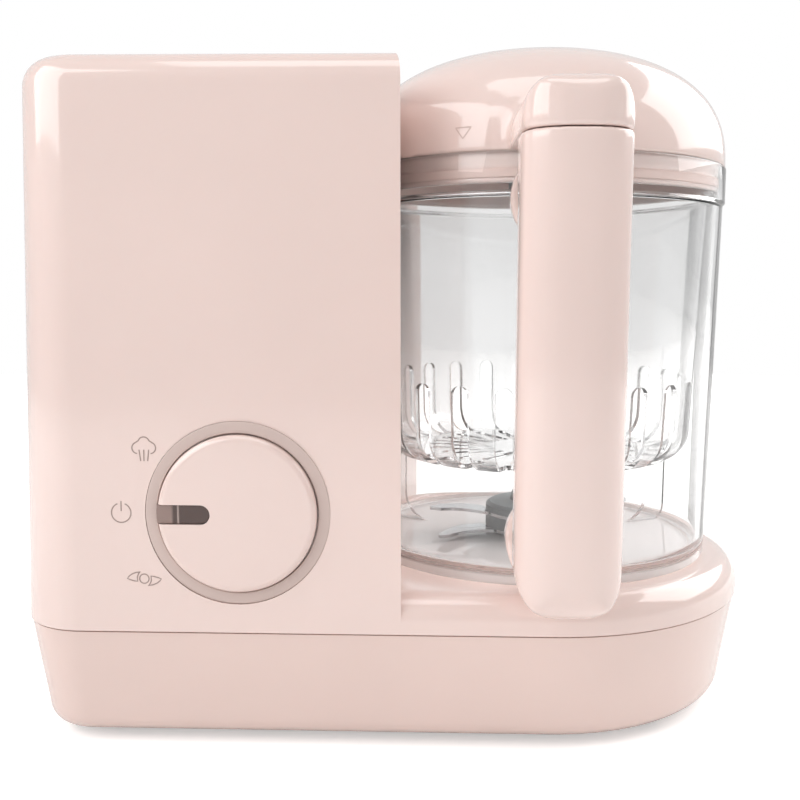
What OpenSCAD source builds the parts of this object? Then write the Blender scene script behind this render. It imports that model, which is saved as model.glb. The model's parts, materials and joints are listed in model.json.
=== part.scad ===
// Baby food maker: a steam boiler and motor in a moulded column, and a clear lidded bowl
// with a steam basket and blades that stands on a belt-driven spindle beside it.
// The model is drawn about the bowl's axis, with the front towards -Y and the table at z = 0,
// and each part is then moved so that the origin is under the middle of the whole object.

/* [Body] */
// Overall width, from the flat side to the round end
body_w = 268.5; // [262:0.5:280]
// Radius of the round end, which is half the depth of the body
end_r = 82; // [81:0.5:85]
// Height of the column
column_h = 236.3; // [230:0.1:245]
// Height of the seam between the base pan and the housing
seam_h = 43; // [42:0.5:45]
// Height of the plate that the bowl stands on
plate_h = 56; // [55:0.5:60]
// Thickness of the moulded walls
wall = 2.8; // [2.4:0.1:3.2]
// Radius of the upright corners
corner_r = 25; // [23:1:28]
// Radius of the column's top edge
edge_r = 10; // [8:0.5:12]
// Radius of the plate's top edge
plate_edge_r = 9; // [7:0.5:9]
// How far the column's walls lean in from the seam to the top
lean = 4; // [3:0.5:5]
// Distance of the column's front right edge from the bowl's axis
wing_x = 51.6; // [49:0.5:54]
// Angle of the column's end faces beside the bowl
wing_slant = 13; // [8:1:16]

/* [Base pan] */
// Height of the feet
foot_h = 3; // [2:0.5:4]
// Radius of the feet
foot_r = 9; // [7:0.5:9]
// How far the pan narrows towards its bottom
pan_taper = 5; // [4:0.5:7]
// Radius of the pan's bottom edge
pan_edge_r = 8; // [6:0.5:9]
// Step of the pan's wall below the housing at the seam
seam_step = 0.5; // [0.3:0.1:0.8]
// Depth of the groove that runs round the seam
seam_groove = 1.2; // [0.8:0.1:1.4]

/* [Dial] */
// Distance of the dial's axis from the bowl's axis
dial_x = 106.7; // [104:0.1:108]
// Height of the dial's axis
dial_z = 84.1; // [83:0.1:88]
// Radius of the dial
dial_r = 26.9; // [26:0.1:27.4]
// Width of the trim ring around the dial
bezel_w = 3.9; // [3.2:0.1:4.4]
// Turn of the dial from off to either setting
dial_turn = 35; // [30:1:40]

/* [Bowl] */
// Outer radius of the bowl's rim
bowl_r = 72.4; // [71:0.2:73.2]
// Height of the bowl
bowl_h = 149; // [145:1:153]
// Thickness of the bowl's wall
bowl_wall = 2.6; // [2.2:0.1:3]
// How much the bowl narrows towards its foot
bowl_taper = 3.2; // [2.8:0.2:4]
// Height of the rim band that takes the lid
rim_band = 13; // [12:0.5:15]
// Gap between the bowl's rim and the column
recess_gap = 2.6; // [2.4:0.2:3]

/* [Handle] */
// Width of the handle
handle_w = 33; // [30:1:35]
// Distance of the handle's front face from the bowl's axis
handle_reach = 119; // [117:1:123]
// Thickness of the handle's bar
handle_t = 18; // [16:0.5:19]

/* [Lid] */
// Height of the lid's dome over the rim
dome_h = 44.4; // [42:0.2:48]
// Thickness of the lid's wall
lid_wall = 2.4; // [2:0.1:2.8]
// Depth of the skirt inside the bowl's rim
skirt_h = 10.5; // [9:0.5:11]
// Height of the tongue over the handle
tongue_h = 15.2; // [14:0.1:17]

/* [Steam basket] */
// Height of the basket's floor over the plate
basket_z = 37; // [35:0.5:41]
// Thickness of the basket's wall
basket_wall = 1.8; // [1.5:0.1:2.1]
// Number of slots around the wall
slot_count = 24; // [16:1:26]
// Width of each wall slot
slot_w = 6.4; // [4:0.2:7]
// Height of the slots' tops over the basket's floor
slot_h = 32; // [26:1:40]

/* [Blades] */
// Radius of the blade hub
hub_r = 18.5; // [18:0.1:20]
// Reach of the blades
blade_r = 43; // [38:0.5:44]
// Thickness of the blades
blade_t = 1.2; // [1:0.1:1.5]

/* [Drive] */
// Radius of the spindle
spindle_r = 4; // [3.5:0.1:4.2]
// Radius of the pulley on the spindle
big_pulley_r = 23; // [20:0.5:25]
// Radius of the pulley on the motor
small_pulley_r = 8; // [7.5:0.5:9]
// Width of the belt
belt_w = 9; // [8:0.5:10]
// Distance of the motor from the bowl's axis, to the back
motor_y = 16; // [12:1:20]
// Radius of the motor's can
motor_r = 24; // [22:0.5:25]
// Length of the motor's can
motor_h = 58; // [54:1:60]

/* [Boiler] */
// Width of the boiler's tank as a share of the room between the column's walls
boiler_share = 0.68; // [0.6:0.01:0.7]
// Height of the boiler's tank
boiler_h = 50; // [46:1:52]
// Length of the hose's upright part over the tank
hose_rise = 17.5; // [15:0.5:20]
// Radius of the filler neck as a share of the tank's radius
neck_share = 0.5; // [0.45:0.01:0.53]
// Height of the steam outlet over the bowl's rim
steam_rise = 7; // [6:0.5:8]
// Outer radius of the steam hose
hose_r = 5; // [4.5:0.1:5.5]

/* [Hidden] */
$fn = 96;

// Clearances: between moving parts, of a shaft in its bearing, and of a fitted part
gap = 0.3;
run = 0.05;
fit = 0.1;
// Small overlap that lets a cut pass through a face
eps = 1;

// Colours
shell_pink = "#EBD3CC";
ring_pink = "#CDB8B1";
lens_brown = "#60463F";
clear_grey = [0.82, 0.85, 0.86, 0.45];
silicone = "#D9D4D0";
dark_rubber = "#3A3A3C";
steel = "#B9BCBF";
moulded_grey = "#7D8183";
board_green = "#2F6B45";
black_plastic = "#2B2B2D";
brass = "#C8A25A";

// Places of the body
left_x = end_r - body_w;
corner_x = left_x + corner_r;
corner_y = end_r - corner_r;
recess_r = bowl_r + recess_gap;
column_wall = wall + 0.2;
lean_rate = lean / (column_h - edge_r - seam_h);
rim_z = plate_h + bowl_h;
// Room between the recess and the column's flat side, and its middle
column_room = -left_x - recess_r;
column_mid = recess_r + column_room / 2;
// Inner faces of the pan's floor and the plate
pan_floor = foot_h + wall;
plate_under = plate_h - wall;
// Origin of the whole object, under the middle of its box
origin_x = body_w / 2 - end_r;
origin_y = (handle_reach - end_r) / 2;

// Places of the fasteners and feet
screw_inset = 6;
base_screw_ring = end_r - 16;
base_screw_spots = [for (side = [-1, 1]) each
  [[corner_x - screw_inset, side * (corner_y + screw_inset)],
   [base_screw_ring * cos(55), side * base_screw_ring * sin(55)]]];
foot_spots = [for (side = [-1, 1]) each
  [[corner_x + 7, side * (corner_y - 3)], [end_r - 32, side * 30]]];
screw_r = 1.5;
screw_head_r = 3.2;
screw_head_h = 2.4;
base_screw_seat = seam_h - 13;
boss_r = 5;

// Dial, front to back
front_y = -(end_r - lean_rate * (dial_z - seam_h));
dial_seat_y = front_y + 2.1;
dial_boss_t = 3.5;
bezel_r = dial_r + 0.4 + bezel_w;
dial_proud = 3;
dial_shaft_r = 3;
lens_ring = dial_r - 8;
lens_l = 14.8;
lens_half_h = 3.2;
dish_r = dial_r - 4.3;
dish_depth = 0.8;
board_y = dial_seat_y + dial_boss_t + 5.5;
board_t = 1.6;
board_w = 2 * bezel_r + 2;
board_h = board_w - 10;
board_hole_x = board_w / 2 - 5;
board_hole_z = board_h / 2 - 5;
lamp_r = 2.2;

// Drive, from the pan's floor upwards
pulley_z = pan_floor + 3.7;
pulley_flange_t = 1.2;
pulley_top = pulley_z + belt_w + 2 * pulley_flange_t + 2 * gap;
belt_z = pulley_z + pulley_flange_t + gap;
belt_t = 2.6;
carrier_bottom = pulley_top + 3;
carrier_r = 11;
carrier_flange_r = 26;
bush_r = 7.5;
bush_h = 8;
bracket_top = seam_h + 1;
bracket_t = 3;
motor_x = column_mid - 2.5;
motor_shaft_r = 3;
motor_post = motor_r;
motor_wall = 2.4;
motor_top = bracket_top + motor_h;
core_bottom = bracket_top + motor_wall + 11;
core_top = motor_top - motor_wall - 6;
magnet_t = 4;
belt_turn = atan2(motor_y, -motor_x);

// Blades and coupling, from the plate upwards
floor_t = 3;
floor_z = plate_h + floor_t;
boss_out = hub_r - 4;
boss_wall = 2.2;
boss_top = plate_h + 12.5;
boss_ceiling = boss_top - 2.3;
collar_h = 2;
dog_r = 8.4;
dog_w = 3.4;
dog_top = plate_h + 7.1;
coupling_bottom = plate_h + 3.4;
coupling_r = boss_out - boss_wall - 0.7;
blade_shaft_r = 3.5;
blade_z = floor_z + 2;
hub_z = blade_z + blade_t;
upper_blade_z = hub_z + 5;
cap_z = upper_blade_z + blade_t;
cap_top = cap_z + 4.3;
tip_top = cap_top + 11.5;
blade_skirt = hub_r - 3.2;

// Bowl and basket
foot_ring_r = bowl_r - bowl_taper;
band_z = rim_z - rim_band;
band_step = 0.8;
rim_in = bowl_r - bowl_wall;
ledge_z = band_z - 1.4;
ledge_r = rim_in - 1.6;
bowl_in_foot = foot_ring_r - bowl_wall;
basket_bottom = plate_h + basket_z;
basket_rim_r = rim_in - 0.4;
basket_top_r = ledge_r - 2.2;
basket_foot_r = basket_top_r - 3.5;
basket_edge_r = 12;
basket_rim_t = 1.8;

// Handle
root_r = handle_w / 2;
lower_root_z = plate_h + 2 + root_r;
upper_root_z = rim_z - 16;
// Height of each root and radius of the bowl's wall there
handle_roots = [[lower_root_z, foot_ring_r], [upper_root_z, bowl_r]];
grip_in = handle_reach - handle_t;
grip_out = bowl_r + 3.6;
lug_end = bowl_r + 1.5;
lug_r = 8;
handle_top = rim_z - gap;

// Boiler, hung from the roof
boiler_x = column_mid;
boiler_r = boiler_share * column_room / 2;
neck_r = neck_share * boiler_r;
cap_pocket = 6;
pocket_floor = column_h - cap_pocket;
filler_cap_r = neck_r + 7;
roof_under = pocket_floor - wall;
neck_wall = 2;
neck_flange_r = neck_r + 13;
tank_wall = 1.2;
tank_flange_r = boiler_r + 3;
steam_z = rim_z + steam_rise;
hose_bend = 12;
tank_top = steam_z - hose_bend - hose_rise;
tank_bottom = tank_top - boiler_h;
hose_x = boiler_x - boiler_r + hose_r + 3;
hose_bore = hose_r - 2;
seal_r = 8;
port_r = 6.6;
port_end = bowl_r - 8;
pipe_r = 5;

// Interlock and cord outlet
pin_spot = [0, foot_ring_r - 11.2];
pin_r = 2.5;
switch_top = plate_under - 7;
gland_x = -corner_x - 10;
gland_z = 25;
gland_r = 7.5;

// ---- Shared shapes ----

function arc_points(cx, cy, r, from, to, steps) =
  [for (i = [0 : steps]) let (a = from + (to - from) * i / steps) [cx + r * cos(a), cy + r * sin(a)]];
function closed(line) = concat(line, [[0, line[len(line) - 1][1]], [0, line[0][1]]]);
function both_sides(line) =
  concat(line, [for (i = [len(line) - 1 : -1 : 0]) [-line[i][0], line[i][1]]]);

// Wall of the column from its foot over its top edge, at radius r from a corner's axis
function column_line(r, inset, foot) =
  let (e = edge_r - inset, top = column_h - inset, head = r - inset - lean)
  concat([[r - inset + lean_rate * (seam_h - foot), foot]], arc_points(head - e, top - e, e, 0, 90, 8));

// Wall of the bowl plate, which leans as the column does
function plate_line(r, inset, foot) =
  let (e = plate_edge_r - inset, top = plate_h - inset,
       head = r - inset - lean_rate * (top - e - seam_h))
  concat([[r - inset + lean_rate * (seam_h - foot), foot]], arc_points(head - e, top - e, e, 0, 90, 8));

// Wall of the base pan from its bottom edge up to the seam, with a groove under its top outside
function pan_line(r, inset, top) =
  let (e = pan_edge_r - inset / 2, bottom = foot_h + inset, wide = r - seam_step - inset,
       groove_foot = top - seam_groove / 2)
  concat(arc_points(wide - pan_taper - e, bottom + e, e, -90, 0, 8),
    inset > 0 ? [[wide, top]]
      : [[wide, groove_foot], [wide - seam_groove, groove_foot], [wide - seam_groove, top]]);

module ring(r_in, r_out, z0, z1)
  rotate_extrude() translate([r_in, z0]) square([r_out - r_in, z1 - z0]);

module disc(r, z0, z1)
  translate([0, 0, z0]) cylinder(r = r, h = z1 - z0);

// Round bar along Y, from y0 to y1
module bar_y(r, y0, y1)
  translate([0, y1, 0]) rotate([90, 0, 0]) cylinder(r = r, h = y1 - y0);

// Round bar along X, from x0 to x1
module bar_x(r, x0, x1)
  translate([x0, 0, 0]) rotate([0, 90, 0]) cylinder(r = r, h = x1 - x0);

module at_each(spots)
  for (spot = spots) translate([spot[0], spot[1], 0]) children();

// Pan-headed screw that points up, with its head under z = seat
module screw(seat, length, r = screw_r, head_r = screw_head_r, head_h = screw_head_h) {
  difference() {
    disc(head_r, seat - head_h, seat);
    for (turn = [0, 90]) rotate([0, 0, turn])
      translate([-head_r * 0.6, -0.4, seat - head_h - eps]) cube([head_r * 1.2, 0.8, eps + 1.1]);
  }
  disc(r, seat, seat + length);
}

// Block with two round left corners, swept from one wall line; the right end is flat or round
module swept_block(corner_line, side_line, right) {
  for (side = [-1, 1]) translate([corner_x, side * corner_y, 0])
    rotate([0, 0, side < 0 ? 180 : 90]) rotate_extrude(angle = 90) polygon(closed(corner_line));
  translate([corner_x, corner_y, 0]) rotate([90, 0, 0])
    linear_extrude(2 * corner_y) mirror([1, 0]) polygon(closed(corner_line));
  translate([corner_x, 0, 0]) rotate([90, 0, 90])
    linear_extrude(right - corner_x) polygon(both_sides(side_line));
}

module round_end(side_line)
  rotate([0, 0, -90]) rotate_extrude(angle = 180) polygon(closed(side_line));

// ---- Base ----

module pan_block(inset, top) {
  swept_block(pan_line(corner_r, inset, top), pan_line(end_r, inset, top), 0);
  round_end(pan_line(end_r, inset, top));
}

// Places of the four posts that carry the motor, square to the belt
module at_motor_posts()
  translate([-motor_x, motor_y, 0]) rotate([0, 0, belt_turn])
    for (x = [-1, 1], y = [-1, 1]) translate([x * motor_post, y * motor_post, 0]) children();

module base_pan() {
  vent_w = 3;
  vent_l = 34;
  vent_pitch = 6.5;
  post_r = 4.5;
  color(shell_pink) difference() {
    union() {
      difference() {
        pan_block(0, seam_h);
        pan_block(wall, seam_h + eps);
      }
      at_each(base_screw_spots) disc(boss_r + 0.5, pan_floor - eps, seam_h);
      at_motor_posts() disc(post_r, pan_floor - eps, bracket_top - bracket_t);
    }
    at_each(base_screw_spots) {
      disc(screw_head_r + 0.6, foot_h - eps, base_screw_seat);
      disc(screw_r + fit, base_screw_seat - eps, seam_h + eps);
    }
    at_each(foot_spots) disc(foot_r + fit, foot_h - eps, foot_h + 1.2);
    at_motor_posts() disc(screw_r + fit, bracket_top - 16, bracket_top);
    for (i = [-3 : 3]) translate([-motor_x + i * vent_pitch - vent_w / 2, motor_y - vent_l / 2, 0])
      cube([vent_w, vent_l, pan_floor + eps]);
    translate([-gland_x, 0, gland_z]) bar_y(gland_r + fit, corner_y, end_r + eps);
  }
}

module feet()
  color(dark_rubber) at_each(foot_spots) rotate_extrude() {
    square([foot_r - 1, foot_h + 1.2]);
    translate([0, 1]) square([foot_r, foot_h + 0.2]);
    translate([foot_r - 1, 1]) circle(r = 1);
  }

module base_screws()
  color(steel) at_each(base_screw_spots) screw(base_screw_seat, seam_h + 8.5 - base_screw_seat);

// Rubber bush where the mains lead leaves the back of the pan
module cord_gland()
  color(dark_rubber) translate([-gland_x, 0, gland_z]) difference() {
    union() {
      bar_y(gland_r, end_r - 13, end_r - 2.5);
      bar_y(gland_r + 2.5, end_r - 13, end_r - 10);
    }
    bar_y(3.6, end_r - 14, end_r);
  }

// ---- Housing ----

// Region to the right of the column's end faces, grown to the left by inset
module wing_side(inset) {
  shift = inset / cos(wing_slant);
  reach = end_r + 10;
  inner = 38;
  polygon([[-wing_x - shift + 10 * tan(wing_slant), -reach],
    [-wing_x - shift - (end_r - inner) * tan(wing_slant), -inner],
    [-wing_x - shift - (end_r - inner) * tan(wing_slant), inner],
    [-wing_x - shift + 10 * tan(wing_slant), reach], [end_r, reach], [end_r, -reach]]);
}

module column_block(inset, foot, recess_foot) {
  difference() {
    swept_block(column_line(corner_r, inset, foot), column_line(end_r, inset, foot), -wing_x / 2);
    translate([0, 0, foot - eps]) linear_extrude(column_h) wing_side(inset);
    disc(recess_r + inset, recess_foot, column_h + eps);
  }
}

module plate_block(inset, foot) {
  line = plate_line(end_r, inset, foot);
  translate([corner_x, 0, 0]) rotate([90, 0, 90]) linear_extrude(-corner_x) polygon(both_sides(line));
  round_end(line);
}

module at_dial() translate([-dial_x, 0, dial_z]) children();

// Places of the lamps behind the dial: steam, off and blend
module at_lamps()
  for (turn = [-dial_turn, 0, dial_turn]) rotate([0, turn, 0]) translate([-lens_ring, 0, 0]) children();

module at_board_holes()
  for (x = [-1, 1], z = [-1, 1]) translate([x * board_hole_x, 0, z * board_hole_z]) children();

module at_boiler_screws()
  translate([-boiler_x, 0, 0]) for (turn = [60 : 120 : 300]) rotate([0, 0, turn])
    translate([neck_flange_r - 4, 0, 0]) children();

module at_carrier_screws()
  for (turn = [30 : 120 : 270]) rotate([0, 0, turn]) translate([carrier_flange_r - 5, 0, 0]) children();

module housing() {
  rib_t = 2.4;
  boss_h = 18;
  color(shell_pink) difference() {
    union() {
      difference() {
        union() {
          column_block(0, seam_h, plate_h);
          plate_block(0, seam_h);
        }
        column_block(column_wall, seam_h - eps, seam_h - 2 * eps);
        plate_block(wall, seam_h - eps);
      }
      // Screw bosses: two ribbed to the corners, two under the plate
      for (side = [-1, 1]) {
        translate([corner_x - screw_inset, side * (corner_y + screw_inset), 0]) {
          disc(boss_r, seam_h, seam_h + boss_h);
          translate([-(corner_r - screw_inset) + wall / 2, -rib_t / 2, seam_h + 0.5])
            cube([corner_r - screw_inset - wall / 2, rib_t, boss_h - 1]);
        }
        translate([base_screw_ring * cos(55), side * base_screw_ring * sin(55), 0])
          disc(boss_r, seam_h, plate_under + 1);
      }
      // Seat behind the dial and posts for the board
      at_dial() {
        bar_y(bezel_r + 3, dial_seat_y, dial_seat_y + dial_boss_t);
        at_board_holes() bar_y(3.2, front_y + 1.2, board_y);
      }
      // Pocket for the filler cap, with bosses for the boiler's screws
      translate([-boiler_x, 0, 0]) disc(filler_cap_r + 3, roof_under, column_h - 1);
      at_boiler_screws() disc(3.6, roof_under, column_h - 1);
      // Boss for the steam seal
      translate([0, 0, steam_z]) bar_x(seal_r + 3, -recess_r - 5, -recess_r + 0.2);
      // Spill collar round the spindle
      disc(boss_out - boss_wall - 0.5, plate_under, plate_h + collar_h);
      // Posts for the interlock switch
      for (x = [-1, 1]) translate([pin_spot[0] + x * 7.5, pin_spot[1], 0])
        disc(2.2, switch_top, plate_under + 1);
    }
    at_each(base_screw_spots) disc(screw_r + fit, seam_h - eps, seam_h + 9.5);
    at_dial() {
      bar_y(bezel_r + fit, -end_r - eps, dial_seat_y);
      bar_y(dial_shaft_r + 1, -end_r, board_y);
      at_lamps() bar_y(lamp_r + fit, -end_r, board_y);
      at_board_holes() bar_y(1.1, board_y - 5, board_y + eps);
    }
    translate([-boiler_x, 0, 0]) {
      disc(filler_cap_r + 0.6, pocket_floor, column_h + eps);
      disc(neck_r + neck_wall + fit, roof_under - eps, column_h);
    }
    at_boiler_screws() disc(1.1, roof_under - eps, roof_under + 5.5);
    translate([0, 0, steam_z]) bar_x(seal_r + fit, -recess_r - 6, -recess_r + 4);
    disc(recess_r, plate_h + collar_h, column_h + eps);
    disc(dog_r + 0.8, plate_under - eps, plate_h + collar_h + eps);
    translate(pin_spot) disc(pin_r + run, plate_under - eps, plate_h + eps);
  }
}

// ---- Dial and controls ----

module dial_bezel()
  color(ring_pink) at_dial() translate([0, dial_seat_y, 0]) rotate([90, 0, 0]) rotate_extrude() {
    translate([dial_r + 0.4, 0]) square([bezel_w, 2.3]);
    translate([dial_r + 0.4, 0]) square([0.9, 2.8]);
    translate([bezel_r - 0.9, 0]) square([0.9, 2.8]);
  }

// Outline of the lens seen along the dial's axis, reaching past the dial's edge
module lens_outline(grow) {
  r = lens_half_h + grow;
  translate([-dial_r - 2, -r]) square([lens_l + 2, 2 * r]);
  translate([-dial_r + lens_l, 0]) circle(r = r);
}

module dial_knob() {
  back_y = dial_seat_y - gap;
  knob_h = dial_proud + 2.1 - gap;
  dish_curve = (dish_r * dish_r + dish_depth * dish_depth) / (2 * dish_depth);
  color(shell_pink) at_dial() difference() {
    translate([0, back_y, 0]) rotate([90, 0, 0]) rotate_extrude() difference() {
      union() {
        square([dial_r - 2.5, knob_h]);
        square([dial_r, knob_h - 2.5]);
        translate([dial_r - 2.5, knob_h - 2.5]) circle(r = 2.5);
      }
      // Shallow dish in the face
      translate([0, knob_h - dish_depth + dish_curve]) circle(r = dish_curve, $fn = 720);
      translate([8, -eps]) square([dial_r - 10.5, eps + 1]);
      translate([-3, -3]) square([3, 20]);
    }
    translate([0, back_y + eps, 0]) rotate([90, 0, 0]) linear_extrude(knob_h + 2 * eps) lens_outline(fit);
    bar_y(dial_shaft_r + run, back_y - 3, back_y + eps);
  }
}

module dial_lens() {
  back_y = dial_seat_y - gap;
  color(lens_brown) at_dial() intersection() {
    translate([0, back_y, 0]) rotate([90, 0, 0]) linear_extrude(dial_proud + 0.9) lens_outline(0);
    translate([0, back_y, 0]) rotate([90, 0, 0]) cylinder(r = dial_r, h = 10);
  }
}

module dial_shaft()
  color(brass) at_dial() bar_y(dial_shaft_r, dial_seat_y - gap - 3 + run, board_y - 0.5);

module selector_switch() {
  case_w = 22;
  front = dial_seat_y + dial_boss_t;
  color(black_plastic) at_dial() difference() {
    translate([-case_w / 2, front, -case_w / 2]) cube([case_w, board_y - front, case_w]);
    bar_y(dial_shaft_r + fit, front - eps, board_y + eps);
  }
}

module control_board() {
  color(board_green) at_dial() difference() {
    translate([-board_w / 2, board_y, -board_h / 2]) cube([board_w, board_t, board_h]);
    at_board_holes() bar_y(1.3, board_y - eps, board_y + board_t + eps);
  }
  // Relay, capacitor and terminal block on the back of the board
  back = board_y + board_t;
  color(black_plastic) at_dial() {
    translate([-24, back, -4]) cube([19, 14, 15]);
    translate([12, 0, 6]) bar_y(7, back, back + 14);
    translate([-6, back, -22]) cube([24, 10, 9]);
  }
}

module indicator_lamps()
  color(silicone) at_dial() at_lamps() bar_y(lamp_r, dial_seat_y + 0.4, board_y);

module board_screws()
  color(steel) at_dial() at_board_holes() translate([0, board_y + board_t, 0]) rotate([90, 0, 0])
    screw(0, 6, r = 1, head_r = 2.2, head_h = 1.6);

// ---- Motor, belt and spindle ----

module motor_bracket() {
  size = motor_post + 6;
  color(steel) difference() {
    translate([-motor_x, motor_y, 0]) rotate([0, 0, belt_turn])
      translate([-size, -size, bracket_top - bracket_t]) cube([2 * size, 2 * size, bracket_t]);
    translate([-motor_x, motor_y, 0]) disc(9, seam_h - 10, bracket_top + eps);
    at_motor_posts() disc(screw_r + 0.2, seam_h - 10, bracket_top + eps);
  }
}

module motor_screws()
  color(steel) at_motor_posts() translate([0, 0, bracket_top]) rotate([180, 0, 0])
    screw(0, 14);

module at_motor() translate([-motor_x, motor_y, 0]) children();

module motor_can() {
  inner = motor_r - motor_wall;
  color(steel) at_motor() {
    difference() {
      disc(motor_r, bracket_top, motor_top);
      disc(inner, bracket_top + motor_wall, motor_top - motor_wall);
      disc(motor_shaft_r + run, bracket_top - eps, motor_top + eps);
      // Cooling windows in the wall
      for (turn = [0 : 60 : 300]) rotate([0, 0, turn + 15])
        translate([inner - eps, -5, bracket_top + 5]) cube([motor_wall + 2 * eps, 10, 6]);
    }
  }
}

module motor_stator() {
  inner = motor_r - motor_wall - fit;
  color(moulded_grey) at_motor() ring(inner - magnet_t, inner, core_bottom, core_top);
}

module motor_armature() {
  r = motor_r - motor_wall - fit - magnet_t - 0.6;
  slots = 8;
  color(brass) at_motor() difference() {
    disc(r, core_bottom, core_top);
    disc(motor_shaft_r + run, core_bottom - eps, core_top + eps);
    for (i = [0 : slots - 1]) rotate([0, 0, i * 360 / slots])
      translate([r * 0.55, -1.2, core_bottom - eps]) cube([r, 2.4, core_top - core_bottom + 2 * eps]);
  }
}

module motor_shaft()
  color(steel) at_motor() disc(motor_shaft_r, pulley_z - 1, motor_top + 9);

module motor_fan() {
  hub = 6;
  tip = motor_r - 3;
  z0 = motor_top + 1;
  blades = 9;
  color(black_plastic) at_motor() difference() {
    union() {
      disc(tip, z0, z0 + 1.2);
      disc(hub, z0, z0 + 7);
      for (i = [0 : blades - 1]) rotate([0, 0, i * 360 / blades])
        translate([hub - 1, -0.6, z0]) cube([tip - hub - 0.5, 1.2, 6.5]);
    }
    disc(motor_shaft_r + run, z0 - eps, z0 + 10);
  }
}

// Grooved belt pulley between two flanges, with a hub bored for its shaft
module ribbed_pulley(r, bore) {
  grooves = 4;
  pitch = belt_w / grooves;
  low = belt_z;
  rotate_extrude() polygon(concat(
    [[bore, pulley_z], [r + 2.2, pulley_z], [r + 2.2, low - gap], [r, low - gap], [r, low]],
    [for (i = [0 : grooves - 1]) each [[r - 1.4, low + (i + 0.5) * pitch], [r, low + (i + 1) * pitch]]],
    [[r, low + belt_w + gap], [r + 2.2, low + belt_w + gap], [r + 2.2, pulley_top], [bore, pulley_top]]));
}

module motor_pulley() color(black_plastic) at_motor() ribbed_pulley(small_pulley_r, motor_shaft_r + run);

module spindle_pulley() color(black_plastic) ribbed_pulley(big_pulley_r, spindle_r + run);

module belt_loop(grow) hull() {
  circle(r = big_pulley_r + gap + grow);
  translate([-motor_x, motor_y]) circle(r = small_pulley_r + gap + grow);
}

module drive_belt()
  color(dark_rubber) translate([0, 0, belt_z]) linear_extrude(belt_w) difference() {
    belt_loop(belt_t);
    belt_loop(0);
  }

module spindle_carrier() {
  color(moulded_grey) difference() {
    union() {
      disc(carrier_r, carrier_bottom, plate_under);
      disc(carrier_flange_r, plate_under - 4, plate_under);
      for (turn = [90 : 120 : 330]) rotate([0, 0, turn])
        translate([0, -1.2, carrier_bottom + bush_h])
          cube([carrier_flange_r - 6, 2.4, plate_under - carrier_bottom - bush_h - 1]);
    }
    disc(bush_r + fit, carrier_bottom - eps, carrier_bottom + bush_h);
    disc(bush_r + fit, plate_under - bush_h, plate_under + eps);
    disc(spindle_r + 1, carrier_bottom, plate_under);
    at_carrier_screws() disc(screw_r + fit, plate_under - 5, plate_under + eps);
  }
}

// The screws clamp the carrier up against the plate
module carrier_screws()
  color(steel) at_carrier_screws() screw(plate_under - 4, 4 - fit);

module spindle_bushes()
  color(brass) {
    ring(spindle_r + run, bush_r, carrier_bottom, carrier_bottom + bush_h - fit);
    ring(spindle_r + run, bush_r, plate_under - bush_h + fit, plate_under);
  }

module spindle() color(steel) disc(spindle_r, pulley_z - 2, dog_top - 2.5);

// Six lobes in plan: three bars across a round core
module dog_outline(grow) {
  circle(r = spindle_r + 1.2 + grow);
  for (turn = [0, 60, 120]) rotate(turn)
    square([2 * (dog_r + grow), dog_w + 2 * grow], center = true);
}

module drive_dog()
  color(moulded_grey) difference() {
    translate([0, 0, plate_h + 1.4]) linear_extrude(dog_top - plate_h - 1.4) dog_outline(0);
    disc(spindle_r + run, plate_h, dog_top - 2.4);
  }

module interlock_switch()
  color(black_plastic) translate([pin_spot[0] - 10, pin_spot[1] - 3.5, switch_top - 10]) cube([20, 7, 10]);

module interlock_pin()
  color(ring_pink) translate(pin_spot) {
    disc(pin_r, switch_top + fit, plate_h - fit);
    disc(pin_r + 1.3, switch_top + fit + 1, switch_top + fit + 2.4);
  }

// ---- Boiler and steam path ----

module boiler_tank()
  color(steel) translate([-boiler_x, 0, 0]) rotate_extrude() {
    translate([0, tank_bottom]) square([boiler_r - 4, tank_wall]);
    translate([boiler_r - tank_wall, tank_bottom + 4]) square([tank_wall, tank_top - tank_bottom - 4]);
    translate([boiler_r - tank_wall, tank_top - tank_wall])
      square([tank_flange_r - boiler_r + tank_wall, tank_wall]);
    translate([boiler_r - 4, tank_bottom + 4]) intersection() {
      difference() {
        circle(r = 4);
        circle(r = 4 - tank_wall);
      }
      translate([0, -4]) square([4, 4]);
    }
  }

module boiler_top() {
  roof_t = 3;
  color(moulded_grey) difference() {
    union() {
      translate([-boiler_x, 0, 0]) {
        disc(tank_flange_r, tank_top, tank_top + roof_t);
        disc(neck_r + neck_wall, tank_top, pocket_floor);
        disc(neck_flange_r, roof_under - 3, roof_under);
      }
      translate([-hose_x, 0, 0]) disc(hose_bore - fit, tank_top, tank_top + roof_t + 9);
    }
    translate([-boiler_x, 0, 0]) disc(neck_r, tank_top - eps, column_h);
    translate([-hose_x, 0, 0]) disc(1.6, tank_top - eps, tank_top + 20);
    at_boiler_screws() disc(1.4, roof_under - 4, roof_under + eps);
  }
}

module boiler_screws()
  color(steel) at_boiler_screws() screw(roof_under - 3, 8, r = 1, head_r = 2.2, head_h = 1.6);

// Bent tubular element brazed under the tank, with its two ends turned down
module boiler_heater() {
  bend_r = boiler_r - 16;
  rod_r = 3.2;
  z = tank_bottom - rod_r;
  color(moulded_grey) translate([-boiler_x, 0, 0]) {
    rotate([0, 0, 20]) translate([0, 0, z])
      rotate_extrude(angle = 320) translate([bend_r, 0]) circle(r = rod_r);
    for (turn = [20, 340]) rotate([0, 0, turn]) translate([bend_r, 0, z - 10]) cylinder(r = rod_r, h = 10);
  }
}

module thermostat()
  color(black_plastic) translate([-boiler_x, 0, 0]) {
    disc(8, tank_bottom - 5, tank_bottom);
    for (y = [-1, 1]) translate([-3, y * 5 - 0.4, tank_bottom - 10]) cube([6, 0.8, 5.5]);
  }

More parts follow.
